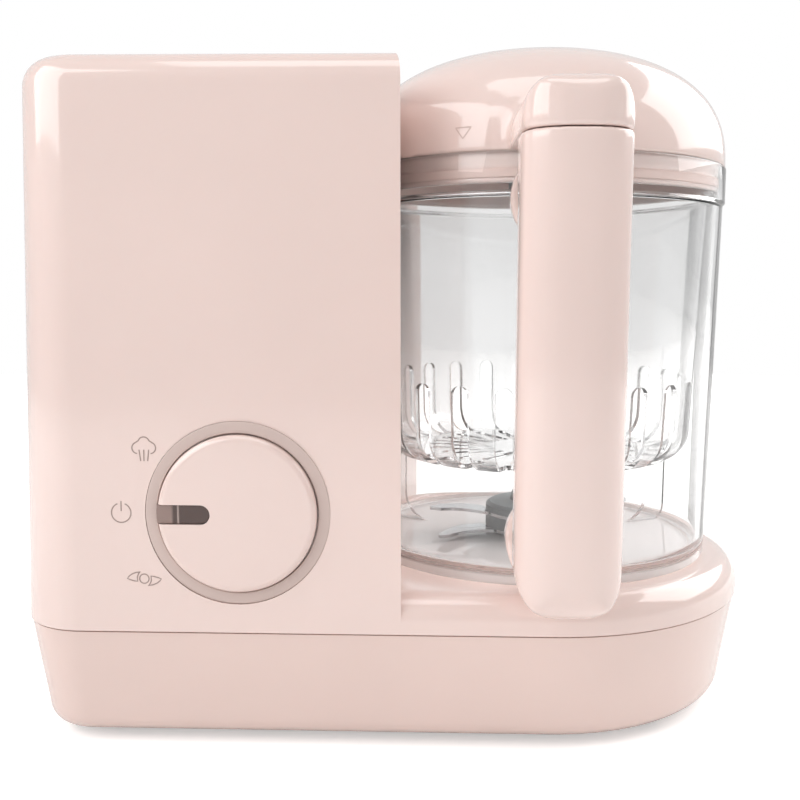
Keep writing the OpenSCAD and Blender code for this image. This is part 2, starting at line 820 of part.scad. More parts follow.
// Hose from the boiler's spigot up and over to the seal in the recess
module steam_hose() {
  foot = tank_top + 3 + fit;
  bend_x = -hose_x + hose_bend;
  color(silicone) {
    translate([-hose_x, 0, 0]) ring(hose_bore, hose_r, foot, steam_z - hose_bend);
    translate([bend_x, 0, steam_z - hose_bend]) rotate([90, 0, 0]) rotate([0, 0, 90])
      rotate_extrude(angle = 90) translate([hose_bend, 0]) difference() {
        circle(r = hose_r);
        circle(r = hose_bore);
      }
    translate([bend_x, 0, steam_z]) rotate([0, 90, 0]) ring(hose_bore, hose_r, 0, -recess_r - 3 - bend_x);
  }
}

module steam_seal()
  color(silicone) translate([0, 0, steam_z]) difference() {
    union() {
      bar_x(seal_r, -recess_r - 5, -bowl_r - gap);
      bar_x(seal_r + 2, -recess_r - 7, -recess_r - 5);
    }
    bar_x(hose_r + fit, -recess_r - 8, -recess_r - 3);
    bar_x(hose_bore, -recess_r - 4, -bowl_r + eps);
  }

module filler_cap() {
  cap_bottom = pocket_floor + fit;
  cap_t = cap_pocket - 0.6;
  plug = 12;
  color(shell_pink) translate([-boiler_x, 0, 0]) {
    difference() {
      rotate_extrude() {
        translate([0, cap_bottom]) square([filler_cap_r - 1.5, cap_t]);
        translate([0, cap_bottom]) square([filler_cap_r, cap_t - 1.5]);
        translate([filler_cap_r - 1.5, cap_bottom + cap_t - 1.5]) circle(r = 1.5);
      }
      // Two finger hollows leave a grip bar across the cap
      for (side = [-1, 1]) intersection() {
        disc(filler_cap_r - 4, cap_bottom + 1.8, column_h);
        translate([-filler_cap_r, side > 0 ? 3.5 : -filler_cap_r - 3.5, cap_bottom + 1.8])
          cube([2 * filler_cap_r, filler_cap_r, cap_t]);
      }
    }
    ring(neck_r - 4.5, neck_r - 2, cap_bottom - plug, cap_bottom);
  }
}

module filler_seal()
  color(silicone) translate([-boiler_x, 0, 0])
    ring(neck_r - 2 + run, neck_r - gap, pocket_floor - 7, pocket_floor - 3);

// ---- Bowl ----

module baffle_rib() {
  rib_in = bowl_in_foot - 9.2;
  rib_top = basket_bottom - 2.5;
  foot_flare = 12;
  rotate([90, 0, 0]) translate([0, 0, -1]) linear_extrude(2) difference() {
    translate([rib_in - foot_flare, floor_z - 0.5])
      square([bowl_in_foot + 0.6 - rib_in + foot_flare, rib_top - floor_z + 0.5]);
    translate([rib_in - 2 * foot_flare, floor_z + foot_flare])
      square([2 * foot_flare, rib_top]);
    translate([rib_in - foot_flare, floor_z + foot_flare]) circle(r = foot_flare);
  }
}

module bowl() {
  upper_out = bowl_r - band_step;
  rib_turn = 22;
  color(clear_grey) difference() {
    union() {
      rotate_extrude() polygon([
        [boss_out - boss_wall, plate_h], [foot_ring_r - 1.5, plate_h], [foot_ring_r, plate_h + 1.5],
        [upper_out, band_z - 1], [bowl_r, band_z], [bowl_r, rim_z - 0.6], [bowl_r - 0.6, rim_z],
        [rim_in, rim_z], [rim_in, ledge_z], [ledge_r, ledge_z],
        [bowl_in_foot, floor_z + 6], [bowl_in_foot - 1.7, floor_z + 1.7], [bowl_in_foot - 6, floor_z],
        [30, floor_z], [29.4, floor_z + 0.9], [27.6, floor_z + 0.9], [27, floor_z],
        [boss_out + 1, floor_z], [boss_out, floor_z + 1], [boss_out, boss_top - 1], [boss_out - 1, boss_top],
        [6.1, boss_top], [6.1, boss_ceiling], [boss_out - boss_wall, boss_ceiling]]);
      for (turn = [rib_turn, 180 - rib_turn]) rotate([0, 0, turn]) baffle_rib();
      // Lugs that carry the handle
      for (root = handle_roots) translate([0, 0, root[0]]) bar_y(lug_r, -lug_end, -root[1] + 1.2);
    }
    for (root = handle_roots) translate([0, 0, root[0]]) bar_y(1.1, -lug_end - eps, -root[1] + 0.8);
  }
}

module blade_bush()
  color(brass) {
    ring(blade_shaft_r + run, 6, boss_ceiling, boss_top);
    ring(blade_shaft_r + run, 9, boss_top, boss_top + 0.7);
  }

// Plan of the handle and the lid's tongue: straight sides run into one bowed front face
module handle_plan(back) {
  depth = 13;
  half_w = handle_w / 2;
  bow_power = 0.8;
  steps = 32;
  polygon(concat([[half_w, -back], [-half_w, -back]],
    [for (i = [0 : steps]) let (t = 180 * i / steps, c = cos(t))
      [-sign(c) * half_w * pow(abs(c), bow_power),
       depth - handle_reach - depth * pow(abs(sin(t)), bow_power)]]));
}

// Side view of the handle's outer shape, in distance from the bowl's axis and height
module handle_side(bottom) {
  nose = 14;
  union() {
    translate([bowl_r - 8, bottom]) square([handle_reach - nose - bowl_r + 8, handle_top - bottom]);
    translate([bowl_r - 8, bottom + nose]) square([handle_reach - bowl_r + 8, handle_top - bottom - nose]);
    translate([handle_reach - nose, bottom + nose]) circle(r = nose);
  }
}

// Profile drawn as (distance, height), swept across the handle's width
module across_handle(width)
  rotate([90, 0, 0]) rotate([0, -90, 0]) translate([0, 0, -width / 2]) linear_extrude(width) children();

module finger_gap_outline() {
  r = (grip_in - grip_out) / 2;
  low = lower_root_z - 8 + r;
  high = upper_root_z + 7 - r;
  middle = grip_out + r;
  translate([grip_out, low]) square([2 * r, high - low]);
  for (z = [low, high]) translate([middle, z]) circle(r = r);
}

module grip_channel(half_w, y_back, y_front, trim) {
  low = lower_root_z + 14 + trim;
  high = upper_root_z - 14 - trim;
  translate([-half_w, -y_front, low]) cube([2 * half_w, y_front - y_back, high - low]);
}

module handle_shell() {
  bottom = plate_h + 2;
  color(shell_pink) difference() {
    intersection() {
      union() {
        // Bar with a full round end below
        translate([0, 0, lower_root_z]) bar_y(root_r, -handle_reach - eps, -grip_in + 2);
        translate([-handle_w / 2, -handle_reach - eps, lower_root_z])
          cube([handle_w, handle_t + eps + 2, handle_top - lower_root_z]);
        // Round roots that meet the bowl
        for (root = handle_roots) translate([0, 0, root[0]]) bar_y(root_r, -grip_in - 2, -foot_ring_r + 4);
      }
      across_handle(handle_w + 2) handle_side(bottom);
      linear_extrude(rim_z + eps) handle_plan(0);
      disc(handle_reach, 0, handle_top);
    }
    across_handle(handle_w + 2) finger_gap_outline();
    // Clearance round the bowl, which widens upwards to the rim band
    rotate_extrude() polygon([[0, 0], [foot_ring_r + fit, 0], [foot_ring_r + fit, plate_h + 1.5],
      [bowl_r - band_step + fit, band_z - 1], [bowl_r + fit, band_z],
      [bowl_r + fit, rim_z + 1], [0, rim_z + 1]]);
    for (root = handle_roots) translate([0, 0, root[0]]) {
      bar_y(lug_r + fit, -lug_end - fit, 0);
      bar_y(1.3, -grip_in, 0);
      bar_y(3.3, -grip_in, -grip_out);
    }
    grip_channel(handle_w / 2 - 6.5, grip_in - eps, handle_reach - 5, 2);
    grip_channel(handle_w / 2 - 4, grip_in - eps, grip_in + 2.4, 0);
  }
}

module handle_cover()
  color(shell_pink) grip_channel(handle_w / 2 - 4 - fit, grip_in, grip_in + 2.4, fit);

module handle_screws()
  color(steel) for (root = handle_roots) translate([0, -grip_out, root[0]])
    rotate([-90, 0, 0]) screw(0, grip_out - root[1], r = 1, head_r = 3, head_h = 2);

// ---- Lid ----

// Dome line from the rim to the top, as a superellipse
function dome_line(a, b, base) =
  [for (i = [0 : 24]) let (t = 90 * i / 24)
    [i == 24 ? 0 : a * pow(cos(t), 0.8), base + b * pow(sin(t), 0.8)]];

module lid_tongue() {
  top_edge = 10;
  front_edge = 7;
  height = tongue_h;
  intersection() {
    translate([0, 0, rim_z]) linear_extrude(height) handle_plan(0);
    // Front view: round top corners
    translate([0, 0, rim_z]) rotate([90, 0, 0]) linear_extrude(handle_reach + eps) union() {
      translate([-handle_w / 2, -eps]) square([handle_w, height - top_edge + eps]);
      translate([-handle_w / 2 + top_edge, 0]) square([handle_w - 2 * top_edge, height]);
      for (x = [-1, 1]) translate([x * (handle_w / 2 - top_edge), height - top_edge]) circle(r = top_edge);
    }
    // Side view: round front edge
    across_handle(handle_w + 2) union() {
      translate([0, rim_z]) square([handle_reach - front_edge, height]);
      translate([0, rim_z]) square([handle_reach, height - front_edge]);
      translate([handle_reach - front_edge, rim_z + height - front_edge]) circle(r = front_edge);
    }
  }
}

module lid() {
  dome_r = bowl_r - 0.4;
  skirt_out = rim_in - 0.5;
  skirt_in = skirt_out - lid_wall;
  color(shell_pink) difference() {
    union() {
      difference() {
        rotate_extrude() polygon(concat(
          [[skirt_in, rim_z - skirt_h], [skirt_out, rim_z - skirt_h], [skirt_out, rim_z]],
          dome_line(dome_r, dome_h, rim_z), [[0, rim_z + 10]], [[skirt_in, rim_z + 10]]));
        // Hollow under the dome
        rotate_extrude() polygon(concat(
          dome_line(dome_r - lid_wall - 0.6, dome_h - lid_wall, rim_z),
          [[0, rim_z - 20], [skirt_in, rim_z - 20], [skirt_in, rim_z]]));
      }
      difference() {
        lid_tongue();
        disc(bowl_r - 3, rim_z - eps, column_h + dome_h);
      }
      // Steam port with a socket for the pipe
      translate([0, 0, steam_z]) bar_x(port_r, -dome_r - 0.3, -port_end);
    }
    ring(skirt_out - 1.2, skirt_out + eps, rim_z - skirt_h + 2, rim_z - skirt_h + 5);
    translate([0, 0, steam_z]) {
      bar_x(hose_bore, -bowl_r - eps, -port_end + eps);
      bar_x(pipe_r + fit, -port_end - 4, -port_end + eps);
    }
    // Hollow under the tongue
    translate([-handle_w / 2 + 4, -handle_reach + 8, rim_z - eps])
      cube([handle_w - 8, handle_reach - bowl_r - 11, eps + 5]);
  }
}

module lid_seal() {
  skirt_out = rim_in - 0.5;
  foot = rim_z - skirt_h;
  color(silicone) ring(skirt_out - 1.2 + fit, rim_in - gap, foot + 2 + fit, foot + 5 - fit);
}

// Pipe that leads the steam from the lid's side port to a nozzle over the basket
module steam_diffuser() {
  start = port_end + 4 - fit;
  nozzle_r = 11;
  nozzle_z = rim_z - skirt_h + 3;
  color(moulded_grey) difference() {
    union() {
      translate([0, 0, steam_z]) bar_x(pipe_r, -start, 4);
      disc(pipe_r + 2, nozzle_z, steam_z);
      disc(nozzle_r, nozzle_z, nozzle_z + 2);
      // Post that hangs the pipe from the dome
      disc(2.5, steam_z, rim_z + dome_h - lid_wall - gap);
    }
    translate([0, 0, steam_z]) bar_x(hose_bore, -start - eps, 0);
    disc(hose_bore, nozzle_z + 2, steam_z);
    for (turn = [0 : 60 : 300]) rotate([0, 0, turn])
      translate([3.5, 0, 0]) disc(1.2, nozzle_z - eps, nozzle_z + 3);
  }
}

// ---- Steam basket ----

module basket() {
  w = basket_wall;
  e = basket_edge_r;
  rim_bottom = ledge_z;
  pitch = 360 / slot_count;
  first_slot = 8;
  floor_slot_w = 3;
  floor_slot_in = 20;
  floor_slot_out = basket_foot_r - e - 8;
  color(clear_grey) difference() {
    rotate_extrude() polygon(concat(
      [[0, basket_bottom]],
      arc_points(basket_foot_r - e, basket_bottom + e, e, -90, 0, 8),
      [[basket_top_r, rim_bottom - 2], [basket_top_r, rim_bottom], [basket_rim_r, rim_bottom],
       [basket_rim_r, rim_bottom + basket_rim_t], [basket_top_r - w, rim_bottom + basket_rim_t],
       [basket_top_r - w, rim_bottom - 2]],
      arc_points(basket_foot_r - e, basket_bottom + e, e - w, 0, -90, 8),
      [[0, basket_bottom + w]]));
    // Arched slots that run down the wall and round the bottom edge
    for (i = [0 : slot_count - 1]) rotate([0, 0, first_slot + i * pitch]) {
      translate([basket_foot_r - e - 4, -slot_w / 2, basket_bottom - eps])
        cube([e + 12, slot_w, slot_h - slot_w / 2 + eps]);
      translate([basket_foot_r - e, 0, basket_bottom + slot_h - slot_w / 2])
        rotate([0, 90, 0]) cylinder(r = slot_w / 2, h = e + 8);
      // Radial slot in the floor
      translate([floor_slot_in, -floor_slot_w / 2, basket_bottom - eps])
        cube([floor_slot_out - floor_slot_in, floor_slot_w, w + 2 * eps]);
    }
  }
}

// ---- Blades ----

// Swept-back wing from the hub to the blade's reach, in plan
module wing_outline(reach) difference() {
  intersection() {
    translate([blade_skirt + 0.8, -7]) square([reach, 14]);
    circle(r = reach);
    translate([reach * 0.33, reach * 0.56]) circle(r = reach * 0.79);
  }
  translate([reach * 0.62, reach * 0.51]) circle(r = reach * 0.44);
}

// Flat ring with two wings that are bent up or down by tilt
module two_wing_blade(z, tilt, turn)
  rotate([0, 0, turn]) {
    ring(blade_skirt, hub_r, z, z + blade_t);
    // A flat neck leaves the ring, and each wing bends just outside the hub
    bend = hub_r + 0.3;
    for (half = [0, 180]) rotate([0, 0, half]) {
      translate([blade_skirt + 0.8, -4, z]) cube([bend + 0.4 - blade_skirt - 0.8, 8, blade_t]);
      translate([bend, 0, z]) rotate([0, -tilt, 0]) linear_extrude(blade_t) intersection() {
        translate([-bend, 0]) wing_outline(blade_r);
        translate([-0.2, -blade_r]) square([blade_r, 2 * blade_r]);
      }
    }
  }

module lower_blade() color(steel) two_wing_blade(blade_z, 0, 20);

module blade_hub() color(moulded_grey) ring(blade_skirt, hub_r, hub_z, upper_blade_z);

module upper_blade() color(steel) two_wing_blade(upper_blade_z, 7, 185);

module hub_cap()
  color(moulded_grey) difference() {
    rotate_extrude() polygon(concat(
      [[0, cap_z], [hub_r, cap_z], [hub_r, cap_z + 2.4], [hub_r - 1.5, cap_top - 0.7], [8.6, cap_top],
       [7.6, cap_top + 3.5], [7, tip_top - 7]],
      arc_points(0, tip_top - 6.5, 6.5, 10, 90, 6)));
    disc(blade_skirt, cap_z - eps, cap_z + 1.4);
    disc(blade_shaft_r + run, cap_z, cap_top + 6);
  }

module blade_shaft() color(steel) disc(blade_shaft_r, dog_top + 0.5, cap_top + 5.8);

module blade_coupling()
  color(moulded_grey) difference() {
    disc(coupling_r, coupling_bottom, boss_ceiling - gap);
    translate([0, 0, coupling_bottom - eps])
      linear_extrude(dog_top + gap - coupling_bottom + eps) dog_outline(0.4);
    disc(blade_shaft_r + run, coupling_bottom, boss_ceiling);
  }

module placed() translate([origin_x, origin_y, 0]) children();

placed() base_pan();
placed() housing();
placed() feet();
placed() base_screws();
placed() cord_gland();
placed() dial_bezel();
placed() selector_switch();
placed() control_board();
placed() indicator_lamps();
placed() board_screws();
placed() motor_bracket();
placed() motor_screws();
placed() motor_can();
placed() motor_stator();
placed() drive_belt();
placed() spindle_carrier();
placed() carrier_screws();
placed() spindle_bushes();
placed() interlock_switch();
placed() boiler_tank();
placed() boiler_top();
placed() boiler_screws();
placed() boiler_heater();
placed() thermostat();
placed() steam_hose();
placed() steam_seal();
placed() dial_knob();
placed() dial_lens();
placed() dial_shaft();
placed() filler_cap();
placed() filler_seal();
placed() interlock_pin();
placed() motor_shaft();
placed() motor_armature();
placed() motor_fan();
placed() motor_pulley();
placed() spindle();
placed() spindle_pulley();
placed() drive_dog();
placed() bowl();
placed() blade_bush();
placed() handle_shell();
placed() handle_cover();
placed() handle_screws();
placed() lid();
placed() lid_seal();
placed() steam_diffuser();
placed() basket();
placed() lower_blade();
placed() blade_hub();
placed() upper_blade();
placed() hub_cap();
placed() blade_shaft();
placed() blade_coupling();
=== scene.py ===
"""Baby food maker: dresses the frame with finished pieces, materials, a stage and a camera."""
import json
import math

import bmesh
import bpy
from mathutils import Matrix, Vector
from mathutils.bvhtree import BVHTree


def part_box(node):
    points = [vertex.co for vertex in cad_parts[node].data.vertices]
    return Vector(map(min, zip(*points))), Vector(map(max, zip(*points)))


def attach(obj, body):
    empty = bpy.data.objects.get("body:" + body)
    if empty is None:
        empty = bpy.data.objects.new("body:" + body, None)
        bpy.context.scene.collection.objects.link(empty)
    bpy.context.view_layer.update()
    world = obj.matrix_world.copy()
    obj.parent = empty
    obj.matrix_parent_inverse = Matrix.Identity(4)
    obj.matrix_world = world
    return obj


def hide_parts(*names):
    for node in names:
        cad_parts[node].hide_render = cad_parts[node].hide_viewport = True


bl_info = {
    "name": "Baby food maker",
    "version": (1, 0, 0),
    "blender": (4, 5, 0),
    "location": "View3D > Sidebar > Food Maker",
    "description": "Builds the shell, bowl, lid, basket, blades, dial and stage of a baby food maker",
    "category": "Object",
}

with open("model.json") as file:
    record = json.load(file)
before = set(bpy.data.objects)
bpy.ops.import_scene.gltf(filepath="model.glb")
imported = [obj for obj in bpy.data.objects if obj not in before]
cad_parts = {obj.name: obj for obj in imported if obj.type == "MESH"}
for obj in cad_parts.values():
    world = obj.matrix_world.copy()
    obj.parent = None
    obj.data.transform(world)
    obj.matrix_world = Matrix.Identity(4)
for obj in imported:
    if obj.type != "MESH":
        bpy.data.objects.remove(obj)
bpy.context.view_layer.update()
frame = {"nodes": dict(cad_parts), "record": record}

MM = 0.001

# Places and sizes taken from the frame, in millimetres: bowl and basket, dial, and handle
BASKET_LOW, BASKET_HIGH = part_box("basket")
AXIS_X = (BASKET_LOW.x + BASKET_HIGH.x) / 2 / MM
AXIS_Y = (BASKET_LOW.y + BASKET_HIGH.y) / 2 / MM
BOWL_LOW, BOWL_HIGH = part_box("bowl")
PLATE_Z = BOWL_LOW.z / MM
RIM_Z = BOWL_HIGH.z / MM
BOWL_R = (BOWL_HIGH.x - BOWL_LOW.x) / 2 / MM
KNOB_LOW, KNOB_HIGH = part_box("dial_knob")
DIAL_X = (KNOB_LOW.x + KNOB_HIGH.x) / 2 / MM
DIAL_Z = (KNOB_LOW.z + KNOB_HIGH.z) / 2 / MM
DIAL_R = (KNOB_HIGH.x - KNOB_LOW.x) / 2 / MM
HANDLE_LOW, HANDLE_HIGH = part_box("handle_shell")
HANDLE_HALF = (HANDLE_HIGH.x - HANDLE_LOW.x) / 2 / MM

# How far the printed marks stand off their surface, in millimetres
INK_MM = 0.04


# ---- Colour and materials ----

def linear(hex_code):
    """An sRGB hex colour as the linear RGBA that a shader socket takes."""
    values = [int(hex_code[i:i + 2], 16) / 255 for i in (1, 3, 5)]
    return tuple(v / 12.92 if v <= 0.04045 else ((v + 0.055) / 1.055) ** 2.4 for v in values) + (1.0,)


def hex_of(rgb):
    """The hex code of a linear colour property."""
    values = [12.92 * v if v <= 0.0031308 else 1.055 * v ** (1 / 2.4) - 0.055 for v in rgb]
    return "#" + "".join(f"{round(max(0, min(1, v)) * 255):02X}" for v in values)


def add(tree, kind, inputs=None, **settings):
    """One node with its settings; an input is given a value, or a socket that it is linked to."""
    node = tree.nodes.new(kind)
    for name, value in settings.items():
        setattr(node, name, value)
    for name, value in (inputs or {}).items():
        socket = node.inputs[name]
        if isinstance(value, bpy.types.NodeSocket):
            tree.links.new(value, socket)
        else:
            socket.default_value = value
    return node


def new_material(name):
    """An empty material with its tree and a texture coordinate node."""
    material = bpy.data.materials.new(name)
    material.use_nodes = True
    tree = material.node_tree
    tree.nodes.clear()
    return material, tree, add(tree, "ShaderNodeTexCoord").outputs["Object"]


def put_out(tree, shader):
    add(tree, "ShaderNodeOutputMaterial", {"Surface": shader.outputs[0]})


def sum_of(tree, operation, one, two):
    """A sum on two values or sockets."""
    return add(tree, "ShaderNodeMath", {0: one, 1: two}, operation=operation).outputs[0]


def white(tree, kind, strength):
    """A white emission or background of this strength."""
    return add(tree, kind, {"Color": linear("#FFFFFF"), "Strength": strength}).outputs[0]


def seen(tree):
    """1 for rays that come to the eye straight or through clear walls, 0 for the rest; and the rays' kinds."""
    kinds = add(tree, "ShaderNodeLightPath").outputs
    return sum_of(tree, "MAXIMUM", kinds["Is Camera Ray"], kinds["Is Transmission Ray"]), kinds


def surface(material, tree, inputs):
    """The material with one principled shader set by inputs."""
    put_out(tree, add(tree, "ShaderNodeBsdfPrincipled", inputs))
    return material


def noise(tree, vector, size_mm, detail):
    """Noise between 0 and 1 with patches of size_mm."""
    return add(tree, "ShaderNodeTexNoise", {
        "Vector": vector, "Scale": 1 / (size_mm * MM), "Detail": detail}).outputs["Fac"]


def shaded(tree, point, tone, spread, size_mm):
    """A colour that drifts a little either way around tone, over patches of size_mm."""
    ramp = add(tree, "ShaderNodeValToRGB", {"Fac": noise(tree, point, size_mm, 3.0)})
    base = linear(tone)
    ramp.color_ramp.elements[0].position = 0.3
    ramp.color_ramp.elements[1].position = 0.7
    ramp.color_ramp.elements[0].color = tuple(c * (1 - spread) for c in base[:3]) + (1.0,)
    ramp.color_ramp.elements[1].color = tuple(min(1, c * (1 + spread)) for c in base[:3]) + (1.0,)
    return ramp.outputs["Color"]


def roughened(tree, point, low, high, size_mm):
    """A roughness between low and high, over patches of size_mm."""
    return add(tree, "ShaderNodeMapRange", {
        "Value": noise(tree, point, size_mm, 4.0), "From Min": 0.3, "From Max": 0.7, "To Min": low,
        "To Max": high}).outputs["Result"]


def bumped(tree, height, depth_mm):
    """Surface normals for a relief of depth_mm."""
    return add(tree, "ShaderNodeBump", {"Height": height, "Distance": depth_mm * MM}).outputs["Normal"]


def moulded_abs(name, tone, rough=0.13):
    """Gloss injection-moulded ABS: an even colour under a faint, broad waviness left by the mould."""
    material, tree, point = new_material(name)
    flow = noise(tree, point, 16, 1.0)
    return surface(material, tree, {
        "Base Color": shaded(tree, point, tone, 0.012, 45),
        "Roughness": roughened(tree, point, rough - 0.025, rough + 0.025, 12),
        "IOR": 1.54,
        "Subsurface Weight": 0.06,
        "Subsurface Radius": (0.004, 0.002, 0.0015),
        "Coat Weight": 0.6,
        "Coat Roughness": 0.03,
        "Normal": bumped(tree, flow, 0.012)})


def satin_abs(name, tone):
    """Satin ABS from a spark-eroded mould: a fine, even grain that softens every reflection."""
    material, tree, point = new_material(name)
    grain = noise(tree, point, 0.5, 3.0)
    return surface(material, tree, {
        "Base Color": shaded(tree, point, tone, 0.02, 20),
        "Roughness": roughened(tree, point, 0.3, 0.38, 4),
        "IOR": 1.54,
        "Normal": bumped(tree, grain, 0.01)})


def clear_copolyester(name, tint, rough, cloud, floor_mm=0.0, milk=0.0):
    """Clear polished copolyester: colourless, bright at its edges, with the faintest flow lines.
    Below floor_mm, where the moulding is thick, it turns slightly milky."""
    material, tree, point = new_material(name)
    flow = noise(tree, point, 22, 1.0)
    height = add(tree, "ShaderNodeSeparateXYZ", {0: point}).outputs["Z"]
    clear = add(tree, "ShaderNodeMapRange", {
        "Value": height, "From Min": floor_mm * MM, "From Max": (floor_mm + 1.5) * MM, "To Min": 1 - milk,
        "To Max": 1.0})
    return surface(material, tree, {
        "Base Color": shaded(tree, point, tint, 0.01, 30),
        "Roughness": roughened(tree, point, rough, rough + cloud, 15),
        "Transmission Weight": clear.outputs["Result"],
        "IOR": 1.5,
        "Normal": bumped(tree, flow, 0.01)})


def smoked_lens(name, tone, clip, clip_edge_mm):
    """Smoked polycarbonate lens: dark brown and deep, with a hard gloss.
    Its outer end, up to the edge at clip_edge_mm, is a paler clip, with a painted highlight line beside it."""
    material, tree, point = new_material(name)
    across = add(tree, "ShaderNodeSeparateXYZ", {0: point}).outputs["X"]
    along = add(tree, "ShaderNodeMapRange", {
        "Value": across, "From Min": (clip_edge_mm - 6) * MM, "From Max": (clip_edge_mm + 4) * MM})
    ramp = add(tree, "ShaderNodeValToRGB", {"Fac": along.outputs["Result"]})
    steps, painted_glint = ramp.color_ramp.elements, "#A8948D"
    steps[0].color = linear(clip)
    steps[1].position = 0.66
    steps[1].color = linear(tone)
    # The lighter stops at 0.6 and 0.62 are a painted highlight: a bright line across the lens, not a colour of the
    # lens.
    for position, colour in ((0.38, clip), (0.46, tone), (0.57, tone), (0.6, painted_glint), (0.62, painted_glint)):
        steps.new(position).color = linear(colour)
    return surface(material, tree, {
        "Base Color": ramp.outputs["Color"],
        "Roughness": roughened(tree, point, 0.06, 0.1, 4),
        "IOR": 1.58,
        "Coat Weight": 0.6,
        "Coat Roughness": 0.03})


def filled_nylon(name, tone, rough=0.42):
    """Glass-filled nylon: dull, with a fine mottled grain from the fibres."""
    material, tree, point = new_material(name)
    grain = noise(tree, point, 0.8, 4.0)
    return surface(material, tree, {
        "Base Color": shaded(tree, point, tone, 0.06, 3),
        "Roughness": roughened(tree, point, rough - 0.05, rough + 0.08, 3),
        "IOR": 1.53,
        "Normal": bumped(tree, grain, 0.02)})


def moulded_rubber(name, tone, rough=0.75):
    """Moulded elastomer: matt, slightly dusty, with a soft sheen at grazing angles."""
    material, tree, point = new_material(name)
    grain = noise(tree, point, 0.6, 5.0)
    return surface(material, tree, {
        "Base Color": shaded(tree, point, tone, 0.1, 4),
        "Roughness": roughened(tree, point, rough - 0.1, rough + 0.08, 5),
        "IOR": 1.52,
        "Sheen Weight": 0.15,
        "Sheen Roughness": 0.5,
        "Normal": bumped(tree, grain, 0.03)})


def milky_silicone(name, tone):
    """Moulded silicone: milky, soft and slightly see-through at its edges."""
    material, tree, point = new_material(name)
    return surface(material, tree, {
        "Base Color": shaded(tree, point, tone, 0.03, 8),
        "Roughness": roughened(tree, point, 0.4, 0.5, 6),
        "IOR": 1.41,
        "Subsurface Weight": 0.4,
        "Subsurface Radius": (0.003, 0.003, 0.003)})


def ground_steel(name, tone, rough, line_mm, stretch=(1, 30, 30)):
    """Ground or drawn steel: fine parallel lines that stretch each reflection across them."""
    material, tree, point = new_material(name)
    along = add(tree, "ShaderNodeMapping", {"Vector": point, "Scale": stretch})
    lines = noise(tree, along.outputs["Vector"], line_mm * 30, 5.0)
    return surface(material, tree, {
        "Base Color": shaded(tree, point, tone, 0.04, 6),
        "Metallic": 1.0,
        "Roughness": roughened(tree, along.outputs["Vector"], rough - 0.06, rough + 0.08, 20),
        "Anisotropic": 0.4,
        "Normal": bumped(tree, lines, 0.008)})


def plain_metal(name, tone, rough, grain_mm=0.7):
    """Cast, sintered or plated metal: a fine grain with uneven brightness."""
    material, tree, point = new_material(name)
    grain = add(tree, "ShaderNodeTexVoronoi", {"Vector": point, "Scale": 1 / (grain_mm * MM)})
    return surface(material, tree, {
        "Base Color": shaded(tree, point, tone, 0.08, 5),
        "Metallic": 1.0,
        "Roughness": roughened(tree, point, rough - 0.05, rough + 0.1, 2),
        "Normal": bumped(tree, grain.outputs["Distance"], 0.015)})


def laminated_iron(name, tone):
    """Stack of stamped iron sheets: edge lines every half millimetre, lightly oxidised."""
    material, tree, point = new_material(name)
    sheets = add(tree, "ShaderNodeTexWave", {"Vector": point, "Scale": 0.5 / (0.5 * MM) / 20, "Distortion": 0.4},
                 bands_direction="Z")
    return surface(material, tree, {
        "Base Color": shaded(tree, point, tone, 0.15, 3),
        "Metallic": 0.9,
        "Roughness": roughened(tree, point, 0.45, 0.6, 2),
        "Normal": bumped(tree, sheets.outputs["Fac"], 0.05)})


def printed_board(name, tone):
    """Solder mask on a printed circuit board: green lacquer over faint copper tracks."""
    material, tree, point = new_material(name)
    tracks = add(tree, "ShaderNodeTexBrick", {
        "Vector": point, "Scale": 1 / (14 * MM), "Mortar Size": 0.03,
        "Color1": linear(tone), "Color2": linear("#2A5F3C"), "Mortar": linear("#4C7F55")})
    return surface(material, tree, {
        "Base Color": tracks.outputs["Color"],
        "Roughness": roughened(tree, point, 0.25, 0.35, 3),
        "IOR": 1.5,
        "Normal": bumped(tree, tracks.outputs["Fac"], 0.035)})


def print_ink_and_painted_shade(name, tone):
    """Pad-printed ink: a thin satin layer with slightly uneven cover. It also makes the lid's painted shadow line."""
    material, tree, point = new_material(name)
    return surface(material, tree, {
        "Base Color": shaded(tree, point, tone, 0.05, 2),
        "Roughness": roughened(tree, point, 0.3, 0.4, 2),
        "IOR": 1.5})


# ---- Shared making ----

def around(x, y):
    """Places, in metres, at a radius, an angle in radians and a height around the upright axis through x and y."""
    return lambda r, angle, z: Vector(((x + r * math.cos(angle)) * MM, (y + r * math.sin(angle)) * MM, z * MM))


def facing_front(x, z):
    """Places, in metres, for a surface turned on an axis that runs from front to back, through x and z."""
    return lambda r, angle, y: Vector(((x + r * math.cos(angle)) * MM, y * MM, (z + r * math.sin(angle)) * MM))


at_bowl = around(AXIS_X, AXIS_Y)
upright = around(0, 0)


def smooth(bm, smooth_deg):
    """Smooth faces with the edges over smooth_deg kept hard."""
    limit = math.radians(smooth_deg)
    for face in bm.faces:
        face.smooth = True
    for edge in bm.edges:
        edge.smooth = len(edge.link_faces) == 2 and edge.calc_face_angle(0) < limit


def placed(name, data):
    """An object in the scene that shows this mesh, light or camera."""
    piece = bpy.data.objects.new(name, data)
    bpy.context.scene.collection.objects.link(piece)
    return piece


def object_from(name, bm, smooth_deg=32):
    """A mesh object made from bm, with edges sharper than smooth_deg kept hard."""
    bm.normal_update()
    smooth(bm, smooth_deg)
    mesh = bpy.data.meshes.new(name)
    bm.to_mesh(mesh)
    bm.free()
    return placed(name, mesh)


def copy_of(node):
    """The surface of a CAD node with its loose triangles merged and its flat faces joined."""
    bm = bmesh.new()
    bm.from_mesh(frame["nodes"][node].data)
    bmesh.ops.remove_doubles(bm, verts=bm.verts, dist=2e-7)
    bmesh.ops.dissolve_limit(bm, angle_limit=math.radians(0.2), verts=bm.verts, edges=bm.edges,
                             delimit={"NORMAL"})
    return bm


